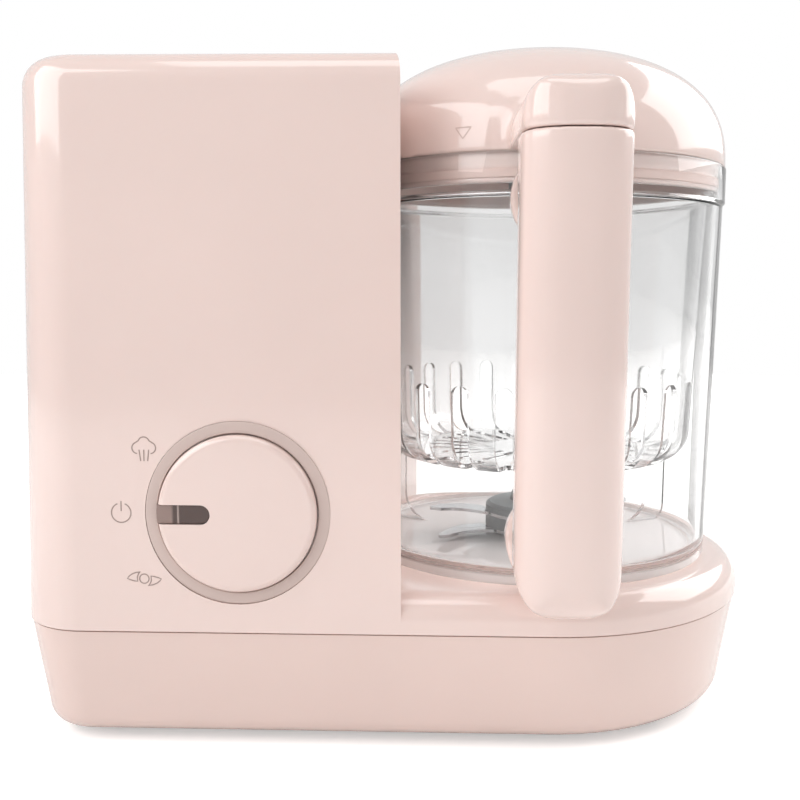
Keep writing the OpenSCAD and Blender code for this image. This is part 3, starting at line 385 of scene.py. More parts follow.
def soften(piece, width_mm):
    """A narrow round on the sharp edges, as a moulded part has."""
    modifier = piece.modifiers.new("edge round", "BEVEL")
    modifier.width = width_mm * MM
    modifier.segments = 2
    modifier.limit_method = "ANGLE"
    modifier.angle_limit = math.radians(40)
    modifier.use_clamp_overlap = True
    modifier.harden_normals = True


def made_plain(piece):
    """The piece with its modifiers worked in and removed."""
    graph = bpy.context.evaluated_depsgraph_get()
    mesh = bpy.data.meshes.new_from_object(piece.evaluated_get(graph), depsgraph=graph)
    piece.modifiers.clear()
    old = piece.data
    piece.data = mesh
    bpy.data.meshes.remove(old)
    return piece


def seat(piece, body, slot, material, *nodes):
    """The piece gets its material, rides on its body and stands for its nodes."""
    piece.data.materials.clear()
    piece.data.materials.append(material)
    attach(piece, body)
    if nodes:
        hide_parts(*nodes)
    return piece


def skin(node, body, slot, material, round_mm=0.0):
    """A smooth-shaded piece that follows a CAD node's surface."""
    piece = object_from(node + "_skin", copy_of(node))
    if round_mm:
        soften(piece, round_mm)
    # Large faces keep their own direction, so that flats stay flat beside rounded edges
    weights = piece.modifiers.new("face weights", "WEIGHTED_NORMAL")
    weights.keep_sharp = True
    weights.weight = 100
    return seat(piece, body, slot, material, node)


def turned(profile, place, segments=128):
    """A closed surface turned from (radius, height) points; place(r, angle, height) gives each point."""
    bm = bmesh.new()
    rings = []
    for r, z in profile:
        count = 1 if r < 1e-6 else segments
        rings.append([bm.verts.new(place(r, 2 * math.pi * i / segments, z)) for i in range(count)])
    pairs = list(zip(rings, rings[1:]))
    if len(rings[0]) > 1 and len(rings[-1]) > 1:
        pairs.append((rings[-1], rings[0]))
    for low, high in pairs:
        for i in range(segments):
            j = (i + 1) % segments
            corners = [low[i % len(low)], low[j % len(low)], high[j % len(high)], high[i % len(high)]]
            corners = list(dict.fromkeys(corners))
            if len(corners) > 2:
                bm.faces.new(corners)
    bmesh.ops.recalc_face_normals(bm, faces=bm.faces)
    return bm


def prism(name, one, two):
    """A straight solid between two outlines with the same number of points, in metres."""
    bm = bmesh.new()
    sides = [[bm.verts.new(point) for point in outline] for outline in (one, two)]
    bm.faces.new(sides[0])
    bm.faces.new(reversed(sides[1]))
    for i in range(len(one)):
        j = (i + 1) % len(one)
        bm.faces.new((sides[0][j], sides[0][i], sides[1][i], sides[1][j]))
    bmesh.ops.recalc_face_normals(bm, faces=bm.faces)
    return object_from(name, bm)


def rounded(points, radius, steps=4):
    """Profile points with each listed corner, (r, z, radius), turned into an arc."""
    line = []
    count = len(points)
    for i, point in enumerate(points):
        size = point[2] if len(point) > 2 else radius
        here = Vector(point[:2])
        if not size or i in (0, count - 1):
            line.append(tuple(here))
            continue
        back = (Vector(points[i - 1][:2]) - here).normalized()
        ahead = (Vector(points[i + 1][:2]) - here).normalized()
        half = back.angle(ahead) / 2
        reach = size / math.tan(half)
        centre = here + (back + ahead).normalized() * size / math.sin(half)
        start = here + back * reach - centre
        sweep = start.angle_signed(here + ahead * reach - centre)
        for k in range(steps + 1):
            turn = Matrix.Rotation(-sweep * k / steps, 2)
            line.append(tuple(centre + turn @ start))
    return line


def joined(piece, others, way="UNION"):
    """The piece with the other meshes welded into it, or cut out of it."""
    for other in others:
        modifier = piece.modifiers.new("weld", "BOOLEAN")
        modifier.operation = way
        modifier.solver = "EXACT"
        modifier.object = other
    made_plain(piece)
    for other in others:
        bpy.data.objects.remove(other)
    return piece


def shade(piece, smooth_deg):
    """The piece with all normals outward, and edges sharper than smooth_deg kept hard."""
    bm = bmesh.new()
    bm.from_mesh(piece.data)
    bmesh.ops.recalc_face_normals(bm, faces=bm.faces)
    smooth(bm, smooth_deg)
    bm.to_mesh(piece.data)
    bm.free()
    return piece


def relaxed(piece, rounds, group=""):
    """The piece with its points, or those in the group, drawn towards their neighbours."""
    flow = piece.modifiers.new("flow", "SMOOTH")
    flow.factor = 0.5
    flow.iterations = rounds
    flow.vertex_group = group
    return made_plain(piece)


def melted(name, node, grain_mm, rounds):
    """A CAD node's form with every edge flowing into the next, as a thick moulding's do."""
    piece = object_from(name, copy_of(node))
    remesh = piece.modifiers.new("even skin", "REMESH")
    remesh.mode = "VOXEL"
    remesh.voxel_size = grain_mm * MM
    return relaxed(piece, rounds)


def node_group(name, **inputs):
    """A Geometry Nodes tree with the named inputs, and the sockets that bring them in."""
    tree = bpy.data.node_groups.new(name, "GeometryNodeTree")
    tree.is_modifier = True
    for label, kind in {"Geometry": "Geometry", **inputs}.items():
        tree.interface.new_socket(label, in_out="INPUT", socket_type="NodeSocket" + kind)
    tree.interface.new_socket("Geometry", in_out="OUTPUT", socket_type="NodeSocketGeometry")
    return tree, add(tree, "NodeGroupInput").outputs


def set_material(tree, geometry, material):
    """The tree's end: the geometry with its material."""
    finished = add(tree, "GeometryNodeSetMaterial", {"Geometry": geometry.outputs[0], "Material": material})
    add(tree, "NodeGroupOutput", {"Geometry": finished.outputs[0]})


def around_bowl(name, sector, count, material):
    """Geometry nodes that set a sector round the bowl's axis count times and weld the joints."""
    tree, given = node_group(name, Count="Int", Axis="Vector", Weld="Float")
    centred = add(tree, "GeometryNodeTransform", {
        "Geometry": given["Geometry"],
        "Translation": add(tree, "ShaderNodeVectorMath", {0: given["Axis"], "Scale": -1.0},
                           operation="SCALE").outputs[0]})
    points = add(tree, "GeometryNodePoints", {"Count": given["Count"], "Position": given["Axis"]})
    index = add(tree, "GeometryNodeInputIndex")
    turn = sum_of(tree, "MULTIPLY", sum_of(tree, "DIVIDE", index.outputs[0], given["Count"]), math.tau)
    angle = add(tree, "ShaderNodeCombineXYZ", {"Z": turn})
    rows = add(tree, "GeometryNodeInstanceOnPoints", {
        "Points": points.outputs[0], "Instance": centred.outputs[0], "Rotation": angle.outputs[0]})
    real = add(tree, "GeometryNodeRealizeInstances", {"Geometry": rows.outputs[0]})
    whole = add(tree, "GeometryNodeMergeByDistance", {"Geometry": real.outputs[0], "Distance": given["Weld"]})
    set_material(tree, whole, material)
    set_inputs(sector, tree, Count=count, Axis=(AXIS_X * MM, AXIS_Y * MM, 0), Weld=0.00001)
    return made_plain(sector)


def at_spots(name, piece, places, material):
    """Geometry nodes that set a piece made at the origin on each of the places, in metres."""
    mesh = bpy.data.meshes.new(name + " places")
    mesh.from_pydata(places, [], [])
    marks = placed(mesh.name, mesh)
    tree, given = node_group(name, Places="Object")
    points = add(tree, "GeometryNodeObjectInfo", {"Object": given["Places"]})
    rows = add(tree, "GeometryNodeInstanceOnPoints", {
        "Points": points.outputs["Geometry"], "Instance": given["Geometry"]})
    set_material(tree, add(tree, "GeometryNodeRealizeInstances", {"Geometry": rows.outputs[0]}), material)
    set_inputs(piece, tree, Places=marks)
    made_plain(piece)
    bpy.data.objects.remove(marks)
    return piece


def solids_of(node):
    """Lowest middle point of each separate solid of a CAD node, in metres, and their height in millimetres."""
    bm = copy_of(node)
    left, found = set(bm.verts), []
    while left:
        island, front = [], [left.pop()]
        while front:
            vert = front.pop()
            island.append(vert.co.copy())
            near = {edge.other_vert(vert) for edge in vert.link_edges} & left
            left -= near
            front += near
        low = Vector([min(p[i] for p in island) for i in range(3)])
        high = Vector([max(p[i] for p in island) for i in range(3)])
        found.append(Vector(((low.x + high.x) / 2, (low.y + high.y) / 2, low.z)))
    bm.free()
    return sorted(found, key=tuple), (high.z - low.z) / MM


def set_inputs(piece, tree, **values):
    """A Geometry Nodes modifier with its inputs set by the sockets' identifiers."""
    modifier = piece.modifiers.new(tree.name, "NODES")
    modifier.node_group = tree
    for item in tree.interface.items_tree:
        if item.item_type == "SOCKET" and item.in_out == "INPUT" and item.name in values:
            modifier[item.identifier] = values[item.name]
    return modifier


def ribbon(bm, points, width, closed=False):
    """A flat strip of width along (across, up) points, in millimetres, in the plane y = 0."""
    count = len(points)
    sides = []
    for i, point in enumerate(points):
        before = points[(i - 1) % count] if closed or i else point
        after = points[(i + 1) % count] if closed or i < count - 1 else point
        along = Vector((after[0] - before[0], after[1] - before[1])).normalized()
        across = Vector((-along.y, along.x)) * width / 2
        sides.append([bm.verts.new((point[0] + s * across.x, 0, point[1] + s * across.y)) for s in (-1, 1)])
    for i in range(count if closed else count - 1):
        a, b = sides[i], sides[(i + 1) % count]
        bm.faces.new((a[0], b[0], b[1], a[1]))


def arc(cx, cz, r, start, end, steps=16):
    """Points of an arc between two angles in degrees."""
    angles = [math.radians(start + (end - start) * i / steps) for i in range(steps + 1)]
    return [(cx + r * math.cos(a), cz + r * math.sin(a)) for a in angles]


# ---- Settings ----

COLOUR = {"subtype": "COLOR", "size": 3, "min": 0, "max": 1}
LENGTH = {"subtype": "DISTANCE", "unit": "LENGTH"}


class FoodMakerColours(bpy.types.PropertyGroup):
    """Colours of what shows most"""
    shell: bpy.props.FloatVectorProperty(
        name="Shell", description="Colour of the moulded shell", default=linear("#EBD5CE")[:3], **COLOUR)
    pan: bpy.props.FloatVectorProperty(
        name="Base pan", description="Colour of the base pan", default=linear("#E8D0C8")[:3], **COLOUR)
    trim: bpy.props.FloatVectorProperty(
        name="Dial ring", description="Colour of the ring around the dial", default=linear("#CFBBB4")[:3], **COLOUR)
    ink: bpy.props.FloatVectorProperty(
        name="Marks", description="Colour of the printed marks", default=linear("#A58F88")[:3], **COLOUR)


class FoodMakerSizes(bpy.types.PropertyGroup):
    """Sizes of fine detail"""
    edge_round: bpy.props.FloatProperty(
        name="Edge round", description="Radius of the shell's narrow edges", default=0.0009, min=0, max=0.003,
        **LENGTH)
    mark_line: bpy.props.FloatProperty(
        name="Mark line", description="Line width of the printed marks", default=0.00042, min=0.0002, max=0.001,
        **LENGTH)


def colours():
    return bpy.context.scene.food_maker_colours


def sizes():
    return bpy.context.scene.food_maker_sizes


# ---- Pieces ----

class BuildShell(bpy.types.Operator):
    """Housing, base pan, feet and what shows of the base"""
    bl_idname = "food_maker.shell"
    bl_label = "Shell"

    def execute(self, context):
        shell = moulded_abs("pale pink gloss ABS", hex_of(colours().shell))
        pan = moulded_abs("pale pink gloss ABS, base", hex_of(colours().pan), 0.16)
        skin("housing", "base", "shell", shell, sizes().edge_round / MM)
        skin("base_pan", "base", "shell", pan)
        skin("filler_cap", "filler_cap", "shell", shell, 0.4)
        self.feet(moulded_rubber("charcoal thermoplastic rubber", "#3C3C3E"))
        self.screws(plain_metal("zinc plated screw steel", "#B9BBBF", 0.3, 0.4))
        return {"FINISHED"}

    def feet(self, rubber):
        """Round foot with ribbed sole, at each corner of the pan."""
        spots, tall = solids_of("feet")
        radius = (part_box("feet")[1].x - max(spot.x for spot in spots)) / MM
        sole = [(0, 0.5)]
        for r in (1.6, 3.6, 5.6):
            sole += [(r, 0.5), (r + 0.2, 0), (r + 0.9, 0), (r + 1.1, 0.5)]
        sole += [(radius - 1.6, 0.5), (radius - 1.5, 0), (radius - 0.9, 0), (radius - 0.3, 0.3), (radius, 0.9),
                 (radius, tall - 0.1), (radius - 0.1, tall), (0, tall)]
        foot = object_from("rubber_feet", turned(sole, upright, 64), 50)
        at_spots("feet at the corners", foot, spots, rubber)
        seat(foot, "base", "foot_rubber", rubber, "feet")

    def screws(self, steel):
        """Domed screw with a cross recess and a rolled thread, at each boss of the pan."""
        spots, tall = solids_of("base_screws")
        outline = [(0, 0), (1.8, 0.1), (2.7, 0.5), (3.15, 1.2), (3.2, 2.3), (3.1, 2.4), (1.3, 2.4)]
        for i in range(int((tall - 5) / 1.2)):
            outline += [(1.25, 2.8 + 1.2 * i), (1.5, 3.3 + 1.2 * i), (1.5, 3.4 + 1.2 * i), (1.25, 3.9 + 1.2 * i)]
        outline += [(1.2, tall - 1), (0.5, tall), (0, tall)]
        screw = object_from("pan_screws", turned(outline, upright, 32), 50)
        cross = []
        for wide, deep in ((1.9, 0.38), (0.38, 1.9)):
            bm = bmesh.new()
            bmesh.ops.create_cube(bm, size=1)
            bmesh.ops.scale(bm, verts=bm.verts, vec=(2 * wide * MM, 2 * deep * MM, 2.4 * MM))
            cross.append(object_from("recess", bm))
        shade(joined(screw, cross, "DIFFERENCE"), 50)
        at_spots("screws at the bosses", screw, spots, steel)
        seat(screw, "base", "screw_steel", steel, "base_screws")


class BuildDial(bpy.types.Operator):
    """Dial knob, its lens and the ring around it"""
    bl_idname = "food_maker.dial"
    bl_label = "Dial"

    def execute(self, context):
        shell = bpy.data.materials["pale pink gloss ABS"]
        trim = satin_abs("rose satin ABS", hex_of(colours().trim))
        lens = smoked_lens("smoked polycarbonate", "#432921", "#8E756D", DIAL_X - DIAL_R + 7)
        self.knob(shell)
        low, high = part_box("dial_bezel")
        outer = (high.x - low.x) / 2 / MM
        front, back = low.y / MM + 0.5, high.y / MM
        ring = turned(rounded([(outer - 3.9, back), (outer - 3.9, front), (outer, front), (outer, back)], 0.3),
                      facing_front(DIAL_X, DIAL_Z), 160)
        seat(object_from("dial_ring", ring, 50), "base", "trim", trim, "dial_bezel")
        skin("dial_lens", "dial", "lens", lens, 0.3)
        return {"FINISHED"}

    def knob(self, shell):
        """Disc with a wide soft edge, slotted from its rim for the lens."""
        low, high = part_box("dial_knob")
        front, back = low.y / MM, high.y / MM
        wide, deep = 2.4, 2.2
        edge = [(DIAL_R - wide + wide * math.sin(a), front + deep - deep * math.cos(a))
                for a in (math.radians(10 * i) for i in range(10))]
        disc = turned([(0, front)] + edge + [(DIAL_R, back - 0.3), (DIAL_R - 0.3, back), (0, back)],
                      facing_front(DIAL_X, DIAL_Z), 160)
        piece = object_from("dial_disc", disc, 50)
        lens_low, lens_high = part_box("dial_lens")
        middle_z = (lens_low.z + lens_high.z) / 2 / MM
        half = (lens_high.z - lens_low.z) / 2 / MM + 0.15
        end = lens_high.x / MM - half + 0.15
        outline = [(DIAL_X - DIAL_R - 3, half), (DIAL_X - DIAL_R - 3, -half)]
        outline += arc(end, 0, half, -90, 90, 24)
        slot = prism("lens_slot", *[[(x * MM, y * MM, (middle_z + z) * MM) for x, z in outline]
                                    for y in (front - 2, back + 2)])
        joined(piece, [slot], "DIFFERENCE")
        seat(shade(piece, 40), "dial", "shell", shell, "dial_knob")


class BuildMarks(bpy.types.Operator):
    """Printed marks beside the dial, and on the lid a painted shadow line for the engraved lock triangle"""
    bl_idname = "food_maker.marks"
    bl_label = "Marks"

    def execute(self, context):
        line = sizes().mark_line / MM
        ink = print_ink_and_painted_shade("rose pad-print ink", hex_of(colours().ink))
        for name, (across, up), draw in (("steam", (-31.4, 21.9), self.steam), ("power", (-39.5, -0.1), self.power),
                                         ("blend", (-32.1, -22.7), self.blend)):
            self.print_on(frame["nodes"]["housing"], name, draw, line, ink, "base", "trim", lambda x, z: (
                Vector(((DIAL_X + across + x) * MM, -1, (DIAL_Z + up + z) * MM)), Vector((0, 1, 0))))
        # The lid's lock triangle is engraved, but no groove is cut: a thin darker line on the surface is painted shade
        # for the groove.
        groove_shadow = print_ink_and_painted_shade("pale rose shadow line", "#CDB3AB")
        turn, height = math.radians(243.7), RIM_Z + 6.4
        self.print_on(bpy.data.objects["lid_dome"], "lock", self.lock, line, groove_shadow, "lid", "shell", lambda x, z: (
            at_bowl(200, turn + x / BOWL_R, height + z), -at_bowl(1, turn + x / BOWL_R, 0) + at_bowl(0, 0, 0)))
        return {"FINISHED"}

    def print_on(self, wall, name, draw, line, ink, body, slot, aim):
        """A mark laid on the wall's surface; aim(x, z) gives the start and direction that meet it. Its ink is real
        print beside the dial and painted shade on the lid.
        """
        base = bmesh.new()
        base.from_mesh(wall.data)
        tree = BVHTree.FromBMesh(base)
        base.free()
        bm = bmesh.new()
        draw(bm, line)
        for vert in bm.verts:
            start, along = aim(vert.co.x, vert.co.z)
            vert.co = tree.ray_cast(start, along)[0] - along.normalized() * INK_MM * MM
        bm.normal_update()
        for face in bm.faces:
            if face.normal.dot(aim(0, 0)[1]) > 0:
                face.normal_flip()
        seat(object_from(name + "_mark", bm), body, slot, ink)

    def lock(self, bm, line):
        """Triangle that points down, where the lid locks."""
        corners = [Vector((-2.9, 1.8)), Vector((2.9, 1.8)), Vector((0, -1.9))]
        path = [a.lerp(b, i / 12) for a, b in zip(corners, corners[1:] + corners[:1]) for i in range(12)]
        ribbon(bm, path, line, closed=True)

    def steam(self, bm, line):
        """Cloud of three lobes over three rising lines."""
        right = arc(0, 1.9, 1.9, 90, 20, 8) + arc(2.1, 0.1, 1.9, 62, -85, 16)
        ribbon(bm, [(-x, z) for x, z in reversed(right)] + right[1:], line)
        for low, high in ((-1.1, -1.6), (0, 0), (1.25, 1.65)):
            ribbon(bm, [(low, -4.35), (high, -0.5)], line)

    def power(self, bm, line):
        """Open circle with a bar through its gap."""
        ribbon(bm, arc(0, 0, 3.3, 112, 428, 40), line)
        ribbon(bm, [(0, 0.6), (0, 4)], line)

    def blend(self, bm, line):
        """Two swept blades on either side of a hub."""
        ribbon(bm, arc(0, 0, 1.6, 0, 348, 28), line, closed=True)
        leaf = [(2.3, 0.95), (3.5, 0.75), (4.8, 0.4), (5.8, 0), (5.2, -0.8), (4.3, -1.5), (2.9, -2.1), (1.25, -2.35),
                (2.0, -1.6), (2.4, -0.6)]
        for s in (1, -1):
            ribbon(bm, [(s * x, s * z) for x, z in leaf], line, closed=True)


class BuildBowl(bpy.types.Operator):
    """Clear bowl with its baffle ribs and handle lugs"""
    bl_idname = "food_maker.bowl"
    bl_label = "Bowl"

    def execute(self, context):
        clear = clear_copolyester("clear copolyester", "#FBFBFB", 0.0, 0.02, PLATE_Z + 3.1, 0.6)
        foot, wall = BOWL_R - 3.2, 2.6
        band, step = RIM_Z - 13, 0.8
        floor = PLATE_Z + 3
        inner = BOWL_R - wall
        profile = rounded([
            (12.3, PLATE_Z), (foot, PLATE_Z, 1.5), (BOWL_R - step, band - 1, 0.4), (BOWL_R, band, 0.4),
            (BOWL_R, RIM_Z, 0.7), (inner, RIM_Z, 0.4), (inner, band - 1.4, 0.3), (inner - 1.6, band - 1.4, 0.4),
            (foot - wall, floor, 6), (15.4, floor, 1), (14.5, PLATE_Z + 12.5, 1), (6.1, PLATE_Z + 12.5),
            (6.1, PLATE_Z + 10.2), (12.3, PLATE_Z + 10.2), (12.3, PLATE_Z)], 0, 5)[:-1]
        bowl = object_from("bowl_glass", turned(profile, at_bowl, 192), 40)
        ribs = [self.rib(side, foot - wall, floor) for side in (22, 158)]
        joined(bowl, ribs + [self.lug(z, r) for z, r in ((PLATE_Z + 18.5, foot), (RIM_Z - 16, BOWL_R - 1))])
        bowl.visible_shadow = False
        seat(shade(bowl, 40), "bowl", "clear_bowl", clear, "bowl")
        return {"FINISHED"}

    def rib(self, side_deg, wall_r, floor):
        """Baffle that keeps the food from turning with the blades; its foot flares along the floor."""
        top = floor + 31.5
        inner = wall_r - 9.2
        outline = [(wall_r + 0.6, floor - 0.5), (wall_r + 0.6, top), (inner, top)]
        outline += [(inner - 12 + 12 * math.cos(math.radians(a)), floor + 12 + 12 * math.sin(math.radians(a)))
                    for a in range(0, -91, -10)] + [(inner - 12, floor - 0.5)]
        turn = math.radians(side_deg)
        across = Vector((-math.sin(turn), math.cos(turn), 0))
        return prism("rib", *[[at_bowl(r, turn, z) + across * half * MM for r, z in outline] for half in (-1, 1)])

    def lug(self, z, wall_r):
        """Round boss on the wall that the handle sits on."""
        start, end = AXIS_Y - BOWL_R - 1.5, AXIS_Y - wall_r + 1.6
        return object_from("lug", turned([(0, start), (8, start), (8, end), (0, end)], facing_front(AXIS_X, z), 48))


class BuildHandle(bpy.types.Operator):
    """Handle with its inner cover"""
    bl_idname = "food_maker.handle"
    bl_label = "Handle"

    def execute(self, context):
        shell = bpy.data.materials["pale pink gloss ABS"]
        grip = melted("handle_grip", "handle_shell", 0.8, 4)
        self.round_end(grip)
        seat(shade(grip, 60), "bowl", "shell", shell, "handle_shell")
        skin("handle_cover", "bowl", "shell", shell, 0.2)
        return {"FINISHED"}

    def round_end(self, grip):
        """The lower end becomes a full round, as the grip's front view has it."""
        tall = HANDLE_HALF * 1.15
        middle = HANDLE_LOW.z / MM + tall
        lower = grip.vertex_groups.new(name="lower end")
        for vert in grip.data.vertices:
            x, z = vert.co.x / MM - AXIS_X, vert.co.z / MM - middle
            if z > 4:
                continue
            lower.add([vert.index], min(1.0, (4 - z) / 8), "REPLACE")
            level = (abs(x / HANDLE_HALF) ** 2.3 + abs(min(z, 0) / tall) ** 2.3) ** (1 / 2.3)
            if level > 1:
                vert.co.x = (AXIS_X + x / level) * MM
                if z < 0:
                    vert.co.z = (middle + z / level) * MM
        relaxed(grip, 24, "lower end")


class BuildLid(bpy.types.Operator):
    """Lid with its tongue"""
    bl_idname = "food_maker.lid"
    bl_label = "Lid"

    def execute(self, context):
        shell = bpy.data.materials["pale pink gloss ABS"]
        lid = melted("lid_dome", "lid", 1.0, 4)
        self.blend(lid)
        seat(shade(lid, 60), "lid", "shell", shell, "lid")
        return {"FINISHED"}

    def blend(self, lid):
        """The dome's crown is set back on its true curve, and flows into the tongue over a wide fillet."""
        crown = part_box("lid")[1].z / MM - RIM_Z
        radius = BOWL_R - 0.4
        near = lid.vertex_groups.new(name="tongue root")
        for vert in lid.data.vertices:
            x, y, z = vert.co.x / MM - AXIS_X, vert.co.y / MM - AXIS_Y, vert.co.z / MM - RIM_Z
            r = math.hypot(x, y)
            if z < 0.3:
                continue
            level = ((r / radius) ** 2.5 + (z / crown) ** 2.5) ** 0.4
            at_tongue = y < -40 and abs(x) < HANDLE_HALF + 7 and z < 24
            if level > 0.965 and not at_tongue:
                scale = 1 / level
                vert.co.x = (AXIS_X + x * scale) * MM
                vert.co.y = (AXIS_Y + y * scale) * MM
                vert.co.z = (RIM_Z + z * scale) * MM
            if at_tongue and (level < 1.25 and z > 2 or z > 5):
                near.add([vert.index], 1.0, "REPLACE")
        relaxed(lid, 30, "tongue root")


class BuildBasket(bpy.types.Operator):
    """Slotted steam basket"""
    bl_idname = "food_maker.basket"
    bl_label = "Steam basket"

    def execute(self, context):
        clear = clear_copolyester("clear polypropylene", "#F7F7F7", 0.02, 0.05)
        count = 24
        low, high = BASKET_LOW.z / MM, BASKET_HIGH.z / MM
        rim_r = (BASKET_HIGH.x - BASKET_LOW.x) / 2 / MM
        piece = object_from("steam_basket", self.sector(low, high, rim_r, count), 35)
        around_bowl("basket sectors", piece, count, clear)
        piece.visible_shadow = False
        seat(shade(piece, 35), "basket", "clear_basket", clear, "basket")
        return {"FINISHED"}

    def sector(self, low, high, rim_r, count):
        """One sector of the wall and floor, open at its sides, with its slots cut through."""
        wall, edge, slot_w, slot_h, floor_slot_w = 1.8, 12.0, 6.4, 32.0, 3.0
        ledge = high - 1.8
        top_r = rim_r - 3.4
        foot_r = top_r - 3.5
        half = math.pi / count
        # Rows along the wall from the middle of the floor to the rim: radius and height outside and inside
        rows = [(r, low, r, low + wall, w) for r, w in self.slot_rows(18, 42.5, floor_slot_w)]
        rows = [(0, low, 0, low + wall, 0), (9, low, 9, low + wall, 0)] + rows
        length = edge * math.pi / 2
        lean = (top_r - foot_r) / (ledge - low - edge)
        for along, w in self.slot_rows(foot_r - edge - 4, foot_r - edge + length + slot_h - edge, slot_w):
            s = along - (foot_r - edge)
            if s <= 0:
                rows.append((along, low, along, low + wall, w))
            elif s < length:
                a = s / edge
                rows.append((foot_r - edge + edge * math.sin(a), low + edge - edge * math.cos(a),
                             foot_r - edge + (edge - wall) * math.sin(a), low + edge - (edge - wall) * math.cos(a), w))
            else:
                z = low + edge + s - length
                r = foot_r + lean * (z - low - edge)
                rows.append((r, z, r - wall, z, w))
        for z in (low + slot_h + 4, low + slot_h + 20, low + slot_h + 44, ledge - 0.6):
            r = foot_r + lean * (z - low - edge)
            rows.append((r, z, r - wall, z, 0))
        rows.append((top_r, ledge, top_r - wall, ledge, 0))
        bm = bmesh.new()
        columns = (1.0, 0.72, 0.45)
        grid = []
        for r_out, z_out, r_in, z_in, w in rows:
            pair = []
            for r, z in ((r_out, z_out), (r_in, z_in)):
                opening = min(0.43 * half, math.asin(w / 2 / r)) if r else 0
                angles = [-half * c for c in columns] + [-opening, opening] + [half * c for c in reversed(columns)]
                pair.append([bm.verts.new(at_bowl(r, a, z)) for a in angles])
            grid.append((pair, w))
        for (one, w1), (two, w2) in zip(grid, grid[1:]):
            for side, flip in ((0, 1), (1, 0)):
                for i in range(7):
                    if i == 3 and (w1 or w2):
                        continue
                    face = [one[side][i], one[side][i + 1], two[side][i + 1], two[side][i]]
                    bm.faces.new(face[::-1] if flip else face)
            if w1 or w2:
                bm.faces.new((one[0][3], two[0][3], two[1][3], one[1][3]))
                bm.faces.new((one[0][4], one[1][4], two[1][4], two[0][4]))
        # Flange that hangs the basket from the bowl's ledge, from the outer wall round to the inner one
        last = grid[-1][0]
        loop = [last[0]]
        for r, z in ((rim_r - 0.3, ledge), (rim_r, ledge + 0.3), (rim_r, high - 0.4), (rim_r - 0.4, high),
                     (top_r - wall + 0.4, high), (top_r - wall, high - 0.4)):
            loop.append([bm.verts.new(at_bowl(r, math.atan2(v.co.y - AXIS_Y * MM, v.co.x - AXIS_X * MM), z))
                         for v in last[0]])
        loop.append(last[1])
        for one, two in zip(loop, loop[1:]):
            for i in range(7):
                bm.faces.new((one[i], two[i], two[i + 1], one[i + 1]))
        bmesh.ops.remove_doubles(bm, verts=bm.verts, dist=0.000004)
        return bm

    def slot_rows(self, start, end, width):
        """Distances along a slot with its opening there; both ends are half round."""
        r = width / 2
        lead = [(start + r - r * math.cos(math.radians(a)), width * math.sin(math.radians(a)))
                for a in (0, 15, 30, 50, 70, 90)]
        tail = [(start + end - along, w) for along, w in reversed(lead)]
        count = max(2, round((end - start - width) / 2.2))
        middle = [(start + r + (end - start - width) * i / count, width) for i in range(1, count)]
        return [(a, 0 if w < 1e-6 else w) for a, w in lead + middle + tail]


class DressInside(bpy.types.Operator):
    """Finishes of the blades and of the works inside"""
    bl_idname = "food_maker.inside"
    bl_label = "Inside"

    def execute(self, context):
        finishes = {
            "trim": bpy.data.materials["rose satin ABS"],
            "lamp": milky_silicone("diffusing lamp polycarbonate", "#E4D9BE"),
            "foot_rubber": bpy.data.materials["charcoal thermoplastic rubber"],
            "belt_rubber": moulded_rubber("black neoprene belt", "#161616", 0.6),
            "silicone": milky_silicone("milky silicone", "#DAD5D1"),
            "screw_steel": bpy.data.materials["zinc plated screw steel"],
            "plate_steel": ground_steel("cold drawn steel", "#AEB0B3", 0.32, 0.2),
            "tank_steel": ground_steel("deep drawn stainless steel", "#BFC1C3", 0.26, 0.3),
            "blade_steel": ground_steel("ground stainless blade steel", "#C6C8CA", 0.22, 0.15),
            "iron": laminated_iron("laminated motor iron", "#5E5A58"),
            "bronze": plain_metal("sintered bronze", "#B38B55", 0.4),
            "aluminium": plain_metal("cast aluminium", "#B4B5B7", 0.4, 1.2),
            "grey_plastic": filled_nylon("grey glass-filled nylon", "#7F8587"),
            "black_plastic": filled_nylon("black glass-filled nylon", "#242427", 0.38),
            "board": printed_board("green solder mask", "#1F4F31"),
        }
        seal = milky_silicone("pale pink silicone", "#EBD3CB")
        slots = {row["node"]: row["material_slot"] for row in frame["record"]["subparts"]}
        for name, node in frame["nodes"].items():
            if node.hide_render:
                continue
            node.data.materials.clear()
            node.data.materials.append(seal if name == "lid_seal" else finishes[slots[name]])
        return {"FINISHED"}


